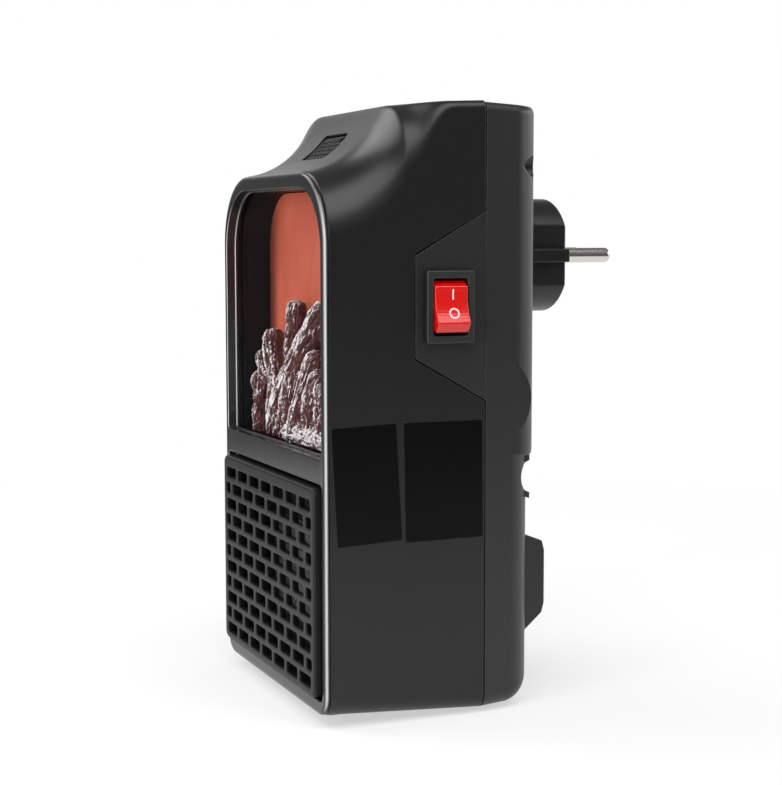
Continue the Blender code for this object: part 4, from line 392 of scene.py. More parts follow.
@dataclass(frozen=True)
class StudioFloor(Finish):
    """Painted floor: pale and matt, it runs out to white and keeps the soft shadow."""
    reach: float = 0.5
    lift: float = 0.55

    def shade(self, tree: bpy.types.NodeTree, shader: bpy.types.Node) -> None:
        """For the camera the floor is lifted towards white, fully so at its rim."""
        coords = add_node(tree, "TexCoord")
        radius = add_node(tree, "VectorMath", {"operation": "LENGTH"}, {0: coords.outputs["Object"]})
        fade = add_node(tree, "MapRange", {"From Min": self.reach * 0.3, "From Max": self.reach * 0.95,
                                           "To Min": self.lift}, {"Value": radius.outputs["Value"]})
        rays = add_node(tree, "LightPath")
        mirrored = add_node(tree, "Math", {"operation": "MAXIMUM"},
                            {0: rays.outputs["Is Glossy Ray"], 1: rays.outputs["Is Transmission Ray"]})
        seen = add_node(tree, "Math", {"operation": "MAXIMUM"},
                        {0: rays.outputs["Is Camera Ray"], 1: mirrored})
        amount = add_node(tree, "Math", {"operation": "MULTIPLY"}, {0: fade, 1: seen})
        white = add_node(tree, "Emission", {"Color": (1, 1, 1, 1), "Strength": 1.0})
        mix = add_node(tree, "MixShader", None, {0: amount, 1: shader, 2: white})
        link(tree, tree.nodes["Material Output"], {"Surface": mix})


# Black ABS, spark-eroded: satin black that gathers broad soft highlights
BLACK_ABS = MouldedPlastic("black_abs_satin", "111112", 0.34, cloud="151516", wear_and_highlight="4a4b4d", specular=0.42)
# The same ABS from the rear mould with a coarser spark texture, painted a shade lighter to stand in for the
# brighter reflection on the rear half
REAR_ABS = MouldedPlastic("black_abs_rear", "1a1a1b", 0.38, cloud="1e1e1f", wear_and_highlight="4c4d4f", grain_mm=0.8)
# ABS frame from a finer mould: a shade lighter; its upright corners carry a bright painted highlight, which
# together with the rim lamp gives the thin light line down its right side
FRAME_ABS = MouldedPlastic("frame_abs_fine", "1c1d1e", 0.25, cloud="212223", wear_and_highlight="b4b5b6",
                           grain_mm=0.5, grain_strength=0.15, edge_mm=0.25, wear=0.3, corner_highlight=0.9)
# Black ABS for the hot grille: matt and deep, with the hole edges rubbed lighter
GRILLE_ABS = MouldedPlastic("grille_abs_matt", "0b0b0c", 0.46, cloud="0f0f10", wear_and_highlight="6a6b6e", specular=0.3,
                            grain_mm=0.5, edge_mm=0.2)
# Glass-filled nylon of the switch frame: greenish grey-black, with its edges lighter, partly by wear and
# partly as a painted sheen
SWITCH_NYLON = MouldedPlastic("switch_nylon", "1c201f", 0.38, cloud="252928", wear_and_highlight="7d8280",
                              grain_mm=0.4, edge_mm=0.25, wear=0.7)
# Red polycarbonate rocker
ROCKER_LENS = TintedLens("rocker_polycarbonate", "d0120c", 0.18, cloud="b80d0a", wear_and_highlight="ff6a60",
                         grain_strength=0.05, edge_mm=0.2, wear=0.6)
# Pad-printed ink of the marks: warm white, slightly worn
WHITE_INK = MouldedPlastic("white_ink", "f2dcda", 0.5, cloud="e4c6c4", wear_and_highlight="ffffff", grain_mm=0.3,
                           cloud_mm=1.5, wear=0.2)
# Heat-resistant black moulding of the firebox and the duct: dead matt
HOT_MOULDING = MouldedPlastic("hot_moulding", "060609", 0.5, cloud="09090d", wear_and_highlight="26262b", specular=0.3)
# Dark grey moulding of the fan
GREY_MOULDING = MouldedPlastic("grey_moulding", "3a3b3d", 0.45, cloud="424345", wear_and_highlight="6d6e70")
# Nickel plate on brass: bright with a warm tint, hair scratches from use
NICKEL = MouldedPlastic("nickel_plate", "d9d6d0", 0.16, cloud="cfcbc4", wear_and_highlight="f2efe8", metallic=1.0,
                        swing=0.05, grain_mm=0.3, grain_strength=0.08, edge_mm=0.15,
                        stretch=(1.0, 0.15, 1.0), cloud_mm=6.0)
# Rolled aluminium fins: pale grey with drawn lines
ROLLED_ALUMINIUM = MouldedPlastic("rolled_aluminium", "b9babc", 0.34, cloud="a2a3a6", wear_and_highlight="e0e0e2",
                                  metallic=1.0, grain_mm=0.4, stretch=(1.0, 1.0, 0.12), edge_mm=0.1,
                                  cloud_mm=9.0)
# Zinc-plated steel of the screws: cool grey, clouded
ZINC_STEEL = MouldedPlastic("zinc_steel", "9a9ca0", 0.36, cloud="7f8186", wear_and_highlight="d0d2d4", metallic=1.0,
                            cloud_mm=2.5, grain_mm=0.3, edge_mm=0.1)
# Solder resist on the boards: deep green, glossy over a woven base
SOLDER_RESIST = MouldedPlastic("solder_resist", "0f4a2b", 0.32, cloud="145634", wear_and_highlight="4b8a5f",
                               grain_mm=0.5, cloud_mm=7.0, edge_mm=0.1)
# Blue epoxy case of the relay
BLUE_EPOXY = MouldedPlastic("blue_epoxy", "1f4f9e", 0.34, cloud="22468a", wear_and_highlight="5f8ad0", edge_mm=0.2)
# Soft PVC of the leads: plain colours with a dull shine
BLUE_PVC = MouldedPlastic("blue_pvc", "1d4c8f", 0.42, cloud="1a4480", wear_and_highlight="4f78b4", cloud_mm=4.0)
BROWN_PVC = MouldedPlastic("brown_pvc", "5a3620", 0.42, cloud="4d2e1b", wear_and_highlight="865c41", cloud_mm=4.0)
RED_PVC = MouldedPlastic("red_pvc", "a31d1d", 0.42, cloud="8c1717", wear_and_highlight="cf5050", cloud_mm=4.0)
# Orange lamp lens
LAMP_LENS = TintedLens("lamp_lens", "d9632e", 0.2, cloud="c95524", wear_and_highlight="ffb080", edge_mm=0.2)
# Polyester label stock with nothing printed: deeper black than the shell, under a smooth gloss
LABEL_FILM = MouldedPlastic("label_film", "040405", 0.28, cloud="070708", wear_and_highlight="2a2a2e", specular=0.12,
                            grain_mm=1.4, grain_strength=0.10, cloud_mm=14.0, edge_mm=0.1, swing=0.04)
# Cast acrylic pane
PANE = ClearPane("cast_acrylic", "0c0c0e", 0.05)
# Orange diffuser of the flame
FLAME = FlameFilm("flame_diffuser", "b4553f", 0.5)
# Painted resin logs
BARK = CastBark("cast_bark", "5a2320", 0.7)


# Solids -----------------------------------------------------------------------------------------

def arc(centre: tuple[float, float], radius: float, start: float, end: float, steps: int) -> Loop:
    """Points on an arc, with angles in degrees."""
    points = []
    for i in range(steps + 1):
        angle = math.radians(start + (end - start) * i / steps)
        points.append((centre[0] + radius * math.cos(angle), centre[1] + radius * math.sin(angle)))
    return points


def outline(half: float, low: float, high: float, low_radius: float, high_radius: float,
            low_steps: int = 8, high_steps: int = 18) -> Loop:
    """A rectangle with round corners, told apart at the bottom and at the top."""
    points = arc((-half + low_radius, low + low_radius), low_radius, 180, 270, low_steps)
    points += arc((half - low_radius, low + low_radius), low_radius, 270, 360, low_steps)
    points += arc((half - high_radius, high - high_radius), high_radius, 0, 90, high_steps)
    points += arc((-half + high_radius, high - high_radius), high_radius, 90, 180, high_steps)
    return points


def rounded(width: float, height: float, radius: float, centre: tuple[float, float] = (0.0, 0.0),
            steps: int = 4) -> Loop:
    """A rectangle with equal round corners about a centre."""
    loop = outline(width / 2, -height / 2, height / 2, radius, radius, steps, steps)
    return [(u + centre[0], v + centre[1]) for u, v in loop]


def share(value: float, start: float, end: float) -> float:
    """How far a value lies from start to end, kept between 0 and 1."""
    return min(max((value - start) / (end - start), 0.0), 1.0)


def blend(a: float, b: float, t: float) -> float:
    """The value at share t from a to b."""
    return a + (b - a) * t


def quarter_round(radius: float, steps: int = 4) -> list[tuple[float, float]]:
    """Growth and depth along a rounded front edge, from the face to the side."""
    turn = math.pi / 2 / steps
    return [(radius * (math.sin(turn * i) - 1), radius * (1 - math.cos(turn * i)))
            for i in range(steps + 1)]


def measure(mesh: bpy.types.Mesh) -> float:
    """A mesh's volume."""
    bm = bmesh.new()
    bm.from_mesh(mesh)
    volume = abs(bm.calc_volume(signed=True))
    bm.free()
    return volume


def skin(bm: bmesh.types.BMesh, near: list[bmesh.types.BMVert], far: list[bmesh.types.BMVert]) -> None:
    """Join two rings of as many vertices with faces."""
    for i, vertex in enumerate(near):
        j = (i + 1) % len(near)
        bm.faces.new((vertex, near[j], far[j], far[i]))


@dataclass(frozen=True)
class Rim:
    """A closed border of a plate: its outline at a growth, and its section as growth and depth."""
    loop: Callable[[float], Loop]
    section: Section


class Solid:
    """A closed mesh under construction, in the frame's own place."""

    def __init__(self, bm: bmesh.types.BMesh) -> None:
        """Take over a bmesh and face its normals out."""
        bmesh.ops.recalc_face_normals(bm, faces=bm.faces)
        mesh = bpy.data.meshes.new("work")
        bm.to_mesh(mesh)
        bm.free()
        self.item = bpy.data.objects.new("work", mesh)
        bpy.context.scene.collection.objects.link(self.item)

    @classmethod
    def loft(cls, rings: Sequence[Sequence[Point]], closed: bool = False) -> "Solid":
        """A solid through rings of as many points each, capped, or joined end to end if closed."""
        bm = bmesh.new()
        layers = [[bm.verts.new(point) for point in ring] for ring in rings]
        for near, far in zip(layers, layers[1:]):
            skin(bm, near, far)
        if closed:
            skin(bm, layers[-1], layers[0])
        else:
            bm.faces.new(layers[0])
            bm.faces.new(layers[-1])
        return cls(bm)

    @classmethod
    def prism(cls, loop: Loop, first: float, last: float, axis: Axis = Axis.Y) -> "Solid":
        """A flat outline given thickness between two values along an axis."""
        return cls.loft([[axis.point(u, v, w) for u, v in loop] for w in (first, last)])

    @classmethod
    def block(cls, xs: tuple[float, float], ys: tuple[float, float], zs: tuple[float, float]) -> "Solid":
        """A box between two values on each axis."""
        return cls.prism([(xs[0], zs[0]), (xs[1], zs[0]), (xs[1], zs[1]), (xs[0], zs[1])], ys[0], ys[1])

    @classmethod
    def drum(cls, radius: float, start: Point, end: Point, steps: int = ROUND_STEPS) -> "Solid":
        """A cylinder from one point to another."""
        start, end = Vector(start), Vector(end)
        turn = (end - start).to_track_quat("Z", "Y").to_matrix().to_4x4()
        bm = bmesh.new()
        bmesh.ops.create_cone(bm, cap_ends=True, segments=steps, radius1=radius, radius2=radius,
                              depth=(end - start).length,
                              matrix=Matrix.Translation((start + end) / 2) @ turn)
        return cls(bm)

    @classmethod
    def pierced(cls, outer: Rim, holes: Sequence[Rim], first: float, axis: Axis = Axis.Y) -> "Solid":
        """A plate with holes, whose borders follow their own sections from front to back.

        Args:
            outer: the plate's outer border.
            holes: the borders of its holes.
            first: where its front face lies along the axis.
            axis: the axis that depth runs along.

        Returns:
            The solid.
        """
        bm = bmesh.new()
        caps: tuple[list, list] = ([], [])
        for rim in (outer, *holes):
            layers = [[bm.verts.new(axis.point(u, v, first + depth)) for u, v in rim.loop(growth)]
                      for growth, depth in rim.section]
            count = len(layers[0])
            for near, far in zip(layers, layers[1:]):
                skin(bm, near, far)
            for cap, layer in zip(caps, (layers[0], layers[-1])):
                cap.extend(bm.edges.get((layer[i], layer[(i + 1) % count])) for i in range(count))
        for cap in caps:
            bmesh.ops.triangle_fill(bm, use_beauty=True, use_dissolve=False, edges=cap)
        return cls(bm)

    @classmethod
    def turned(cls, profile: Loop, origin: Point, steps: int = ROUND_STEPS) -> "Solid":
        """Spin a profile of (radius, y) points about the Y axis through the origin."""
        x, y, z = origin
        rings = []
        for radius, along in profile:
            reach = max(radius, WELD / 100)
            rings.append([(x + reach * math.cos(2 * math.pi * k / steps), y + along,
                           z + reach * math.sin(2 * math.pi * k / steps)) for k in range(steps)])
        return cls.loft(rings)

    def change(self, kind: str, **settings: object) -> "Solid":
        """Add a modifier with its settings and apply it to the mesh."""
        modifier = self.item.modifiers.new(kind.lower(), kind)
        for key, value in settings.items():
            setattr(modifier, key, value)
        bpy.context.view_layer.update()
        graph = bpy.context.evaluated_depsgraph_get()
        mesh = bpy.data.meshes.new_from_object(self.item.evaluated_get(graph))
        self.item.modifiers.clear()
        old = self.item.data
        self.item.data = mesh
        bpy.data.meshes.remove(old)
        return self

    def combine(self, operation: str, others: Sequence["Solid"]) -> "Solid":
        """Apply an exact Boolean with each other solid, and use them up.

        A result that can't be right is thrown away, and the other solid is moved by a hair for the next
        try; the last try is kept as it is. On a busy machine the solver can go wrong that often in a row.
        """
        for other in others:
            for attempt in range(TRIES):
                before = self.item.data.copy()
                self.change("BOOLEAN", operation=operation, solver="EXACT", object=other.item)
                if self.plausible(before, other, operation) or attempt == TRIES - 1:
                    bpy.data.meshes.remove(before)
                    break
                LOG.warning("%s went wrong, try %d", operation, attempt + 1)
                failed = self.item.data
                self.item.data = before
                bpy.data.meshes.remove(failed)
                other.moved(Matrix.Translation(Vector((1, -1, 1)) * HAIR))
            bpy.data.objects.remove(other.item, do_unlink=True)
        return self

    def plausible(self, before: bpy.types.Mesh, other: "Solid", operation: str) -> bool:
        """Whether the mesh can be the result of a Boolean.

        Args:
            before: the mesh that it started from.
            other: the other solid.
            operation: the Boolean's operation.

        Returns:
            False where the volume is out of range or a cut left anything outside.
        """
        whole, part, made = (measure(mesh) for mesh in (before, other.item.data, self.item.data))
        ranges = {"DIFFERENCE": (whole - part, whole), "UNION": (max(whole, part), whole + part),
                  "INTERSECT": (0.0, min(whole, part))}
        low, high = ranges[operation]
        spare = VOLUME_SPARE * whole
        if not low - spare <= made <= high + spare:
            LOG.info("%s: volume %.3g not within %.3g to %.3g", operation, made, low, high)
            return False
        if operation != "DIFFERENCE":
            return True
        tree = BVHTree.FromPolygons([v.co for v in before.vertices], [p.vertices for p in before.polygons])
        for vertex in self.item.data.vertices:
            spot, normal, _, distance = tree.find_nearest(vertex.co)
            if distance > STRAY and (vertex.co - spot).dot(normal) > 0.5 * distance:
                LOG.info("a cut left a point %.2f mm outside", distance / MM)
                return False
        return True

    def cut(self, *others: "Solid") -> "Solid":
        """Take the other solids away."""
        return self.combine("DIFFERENCE", others)

    def join(self, *others: "Solid") -> "Solid":
        """Unite with the other solids."""
        return self.combine("UNION", others)

    def moved(self, matrix: Matrix) -> "Solid":
        """Move the mesh by a matrix."""
        self.item.data.transform(matrix)
        return self

    def bevel(self, width: float, segments: int = 3, angle: float = 40.0) -> "Solid":
        """Round the edges that are sharper than an angle in degrees."""
        return self.change("BEVEL", width=width, segments=segments, limit_method="ANGLE",
                           angle_limit=math.radians(angle))

    def dress(self, name: str, finish: Finish, slot: str, replaced: Sequence[str] = (),
              body: str = HOUSING) -> bpy.types.Object:
        """Finish the solid as a piece of the scene.

        Args:
            name: the piece's name.
            finish: its surface.
            slot: the record's material slot; not used.
            replaced: the CAD nodes that it stands for.
            body: the CAD body that it rides on.

        Returns:
            The piece.
        """
        piece = self.item
        piece.name = name
        piece.data.name = name
        bm = bmesh.new()
        bm.from_mesh(piece.data)
        bmesh.ops.remove_doubles(bm, verts=bm.verts, dist=WELD / 10)
        bm.to_mesh(piece.data)
        bm.free()
        piece.data.shade_smooth()
        piece.data.set_sharp_from_angle(angle=SHARP)
        even = piece.modifiers.new("even_normals", "WEIGHTED_NORMAL")
        even.keep_sharp = True
        piece.data.materials.clear()
        piece.data.materials.append(finish.material())
        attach(piece, body)
        if replaced:
            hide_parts(*replaced)
        LOG.info("%s: %d faces, on %s", name, len(piece.data.polygons), body)
        return piece


# The housing's form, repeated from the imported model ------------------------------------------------

@dataclass(frozen=True)
class Form:
    """Sizes of the housing and the outlines that its pieces share."""
    half_width: float = 0.0457
    front_y: float = -0.0276
    parting_y: float = 0.0230
    rear_y: float = 0.0426
    lower_rear_y: float = 0.0406
    parting_height: float = 0.1809
    crest_height: float = 0.1798
    rear_top: float = 0.1795
    rear_top_fall: float = 0.0010
    front_lift: float = 0.0034
    parting_lift: float = 0.0007
    wall: float = 0.0018
    fit_gap: float = 0.0003
    seam_gap: float = 0.0004
    scoop_radius: float = 0.0310
    scoop_back: float = -0.0028
    scoop_axis: float = 0.1911
    crest_round: float = 0.0011
    crest_lead: float = 0.0020
    crest_run: float = 0.0170
    front_top_radius: float = 0.0215
    crest_top_radius: float = 0.0210
    parting_top_radius: float = 0.0025
    front_bottom_radius: float = 0.0070
    parting_bottom_radius: float = 0.0050
    inner_radius: float = 0.0010
    bezel_bar: float = 0.0030
    bezel_top_bar: float = 0.0044
    sill: float = 0.0783
    mid_bar: float = 0.0073
    grille_low: float = 0.0079
    opening_corner: float = 0.0016
    reveal_wall: float = 0.0009
    reveal_depth: float = 0.0036
    pane: float = 0.0015
    liner_wall: float = 0.0012
    tongue_reach: float = 0.0224
    tongue_top: float = 0.1489
    tongue_shoulder_top: float = 0.1362
    tongue_shoulder_low: float = 0.1066
    tongue_low: float = 0.0938

    @property
    def crest_y(self) -> float:
        """Where the scoop meets the top."""
        rise = self.scoop_axis - self.crest_height
        return self.front_y + self.scoop_back + math.sqrt(self.scoop_radius ** 2 - rise ** 2)

    @property
    def bezel_top(self) -> float:
        """Height of the front frame."""
        return self.top_height(self.front_y)

    def scoop_height(self, y: float, inset: float) -> float | None:
        """Height of the hollow quarter round, or nothing behind its reach."""
        radius = self.scoop_radius + inset
        across = y - (self.front_y + self.scoop_back)
        if across >= radius:
            return None
        return self.scoop_axis - math.sqrt(radius ** 2 - across ** 2)

    def top_height(self, y: float, inset: float = 0.0) -> float:
        """Top of the front shell's section, less an inset, with a softened crest."""
        flat = blend(self.crest_height, self.parting_height, share(y, self.crest_y, self.parting_y)) - inset
        hollow = self.scoop_height(y, inset)
        if hollow is None or hollow > flat + 6 * self.crest_round:
            return flat
        spread = math.exp((hollow - flat) / self.crest_round)
        return hollow - self.crest_round * math.log(1 + spread)

    def top_radius(self, y: float) -> float:
        """Radius of the section's upper corners, which fades from the crest to the seam."""
        if y < self.crest_y - self.crest_lead:
            return blend(self.front_top_radius, self.crest_top_radius, share(y, self.front_y, self.crest_y))
        start = self.crest_y - self.crest_lead
        run = share(y, start, start + self.crest_run)
        smooth = run ** 3 * (10 - 15 * run + 6 * run * run)
        return blend(self.crest_top_radius, self.parting_top_radius, smooth)

    def bottom_height(self, y: float) -> float:
        """Height of the underside."""
        return blend(self.front_lift, self.parting_lift, share(y, self.front_y, self.parting_y))

    def bottom_radius(self, y: float) -> float:
        """Radius of the section's lower corners."""
        return blend(self.front_bottom_radius, self.parting_bottom_radius,
                     share(y, self.front_y, self.parting_y))

    def front_ring(self, y: float, inset: float = 0.0, edge: float = 0.0) -> list[Point]:
        """The front shell's section at y; edge draws it in evenly without moving the scoop."""
        loop = outline(self.half_width - inset - edge, self.bottom_height(y) + inset + edge,
                       self.top_height(y, inset) - edge,
                       max(self.bottom_radius(y) - inset, self.inner_radius),
                       max(self.top_radius(y) - inset, self.inner_radius))
        return [(x, y, z) for x, z in loop]

    def tongue_loop(self, gap: float = 0.0, back: float = 0.0) -> Loop:
        """The tongue as (y, z) points, grown by a gap and reaching back past the parting plane."""
        nose = self.parting_y - self.tongue_reach - gap
        root = self.parting_y + back
        slope_top = (self.tongue_top - self.tongue_shoulder_top) / self.tongue_reach
        slope_low = (self.tongue_shoulder_low - self.tongue_low) / self.tongue_reach
        return [(nose, self.tongue_shoulder_low - gap), (root, self.tongue_low - gap - slope_low * back),
                (root, self.tongue_top + gap + slope_top * back), (nose, self.tongue_shoulder_top + gap)]

    def window_loop(self, grow: float = 0.0) -> Loop:
        """The window's opening as (x, z) points, grown evenly."""
        return outline(self.half_width - self.bezel_bar + grow, self.sill - grow,
                       self.bezel_top - self.bezel_top_bar + grow, self.opening_corner + grow,
                       self.front_top_radius - self.bezel_bar + grow)

    def grille_opening_loop(self, grow: float = 0.0) -> Loop:
        """The grille's opening as (x, z) points, grown evenly."""
        corner = self.opening_corner + grow
        return outline(self.half_width - self.bezel_bar + grow, self.grille_low - grow,
                       self.sill - self.mid_bar + grow, corner, corner, 5, 5)

    def liner_loop(self, grow: float) -> Loop:
        """The firebox outline behind the pane, grown evenly."""
        return outline(self.half_width - self.wall - self.fit_gap + grow,
                       self.sill - self.reveal_wall - self.liner_wall - grow,
                       self.bezel_top - self.bezel_top_bar + self.reveal_wall + grow,
                       self.opening_corner + grow, self.front_top_radius - self.bezel_bar + grow)


FORM = Form()


# Sub-assemblies ------------------------------------------------------------------------------------

@dataclass
class TopVent:
    """Slotted insert on its ledge in the scoop."""
    width: float = 0.0202
    length: float = 0.0113
    depth: float = 0.0013
    ledge: float = 0.0014
    corner: float = 0.0018
    behind: float = 0.0184
    thickness: float = 0.0011
    columns: int = 7
    rows: int = 5
    slot_width: float = 0.0012
    slot_length: float = 0.0013
    column_pitch: float = 0.0026
    row_pitch: float = 0.0019
    slant: float = 0.0006
    edge: float = 0.00018
    fit: float = 0.0003
    rim_round: float = 0.00025

    def place(self) -> Matrix:
        """Where the insert lies: on the scoop, facing out along its radius."""
        axis = Vector((0, FORM.front_y + FORM.scoop_back, FORM.scoop_axis))
        y = FORM.front_y + self.behind
        spot = Vector((0, y, FORM.scoop_height(y, 0)))
        normal = (axis - spot).normalized()
        across = Vector((1, 0, 0))
        turn = Matrix((across, normal.cross(across), normal)).transposed().to_4x4()
        return Matrix.Translation(spot) @ turn

    def pocket(self, margin: float, first: float, last: float) -> Solid:
        """A cutter for the pocket, or for the opening under it, drawn in by a margin."""
        loop = rounded(self.width - 2 * margin, self.length - 2 * margin, self.corner - margin / 2)
        return Solid.prism(loop, first, last, Axis.Z).moved(self.place())

    def slot(self, u: float, v: float) -> Rim:
        """One slanted slot with a rounded rim."""
        def loop(grow: float) -> Loop:
            half, reach = self.slot_width / 2 + grow, self.slot_length / 2 + grow
            return [(u - half - self.slant, v - reach), (u + half - self.slant, v - reach),
                    (u + half + self.slant, v + reach), (u - half + self.slant, v + reach)]
        edge = self.edge
        return Rim(loop, [(edge, 0), (edge / 3, -edge / 3), (0, -edge), (0, -self.thickness)])

    def build(self) -> None:
        """Make the insert with all its slots."""
        slots = []
        for row in range(self.rows):
            for column in range(self.columns):
                slots.append(self.slot((column - (self.columns - 1) / 2) * self.column_pitch,
                                       (row - (self.rows - 1) / 2) * self.row_pitch))
        width, length = self.width - 2 * self.fit, self.length - 2 * self.fit
        outer = Rim(lambda grow: rounded(width + 2 * grow, length + 2 * grow, self.corner + grow),
                    [(g, -d) for g, d in quarter_round(self.rim_round, 3)] + [(0, -self.thickness)])
        top = -self.depth + self.thickness
        insert = Solid.pierced(outer, slots, top, Axis.Z).moved(self.place())
        insert.dress("top_vent_insert", GRILLE_ABS, "grille_black", ["top_vent"])


@dataclass
class FrontShell:
    """Front half of the housing: a sleeve with the scooped top and the cut for the tongue."""
    edge_round: float = 0.0020
    scoop_steps: int = 34
    top_steps: int = 26
    pad_width: float = 0.0620
    pad_length: float = 0.0420
    pad_edge: float = 0.0008
    bezel_thickness: float = 0.0012
    front_gap: float = 0.00005
    edge_shares: tuple[float, ...] = (0.0, 0.12, 0.35, 0.65)
    crest_shares: tuple[float, ...] = (0.5, 1, 1.6, 2.4, 3.4)

    @property
    def first(self) -> float:
        """Where the shell starts, behind the bezel."""
        return FORM.front_y + self.bezel_thickness + self.front_gap

    def stations(self, first: float, last: float) -> list[float]:
        """Where the sections stand, close together along the scoop and the crest."""
        axis_y = FORM.front_y + FORM.scoop_back
        start = math.asin((first - axis_y) / FORM.scoop_radius)
        end = math.asin((FORM.crest_y - axis_y) / FORM.scoop_radius)
        ys = [axis_y + FORM.scoop_radius * math.sin(blend(start, end, i / self.scoop_steps))
              for i in range(self.scoop_steps + 1)]
        ys += [FORM.crest_y + FORM.crest_round * k for k in self.crest_shares]
        run = FORM.parting_y - ys[-1]
        ys += [ys[-1] + run * k / self.top_steps for k in range(1, self.top_steps)]
        return [y for y in ys if y < last - OVERRUN / 10] + [last]

    def sleeve(self, first: float, last: float, inset: float = 0.0) -> Solid:
        """The closed solid of the shell's outside, or of its hollow."""
        ys = self.stations(first, last)
        if inset:
            return Solid.loft([FORM.front_ring(y, inset) for y in ys])
        radius = self.edge_round / 2
        rings = [FORM.front_ring(first + radius * depth, 0.0, radius * (1 - math.sqrt(1 - (1 - depth) ** 2)))
                 for depth in self.edge_shares]
        ys[0] = first + radius
        return Solid.loft(rings + [FORM.front_ring(y) for y in ys])

    def build(self, vent: TopVent) -> None:
        """Make the shell, with the vent's pocket in its scoop."""
        shell = self.sleeve(self.first, FORM.parting_y - FORM.seam_gap / 2)
        pad = Solid.block((-self.pad_width / 2, self.pad_width / 2),
                          (-self.pad_length / 2, self.pad_length / 2), (0, FORM.front_lift + FORM.wall / 2))
        shell.join(pad.bevel(self.pad_edge))
        shell.cut(self.sleeve(self.first - FORM.wall, FORM.parting_y + OVERRUN, FORM.wall))
        shell.cut(Solid.prism(FORM.tongue_loop(FORM.seam_gap, OVERRUN), FORM.half_width - 2 * FORM.wall,
                              FORM.half_width + OVERRUN, Axis.X))
        shell.cut(vent.pocket(0.0, -vent.depth, OVERRUN), vent.pocket(vent.ledge, -OVERRUN, OVERRUN))
        shell.dress("front_shell_moulding", BLACK_ABS, "black_abs", ["front_shell"])


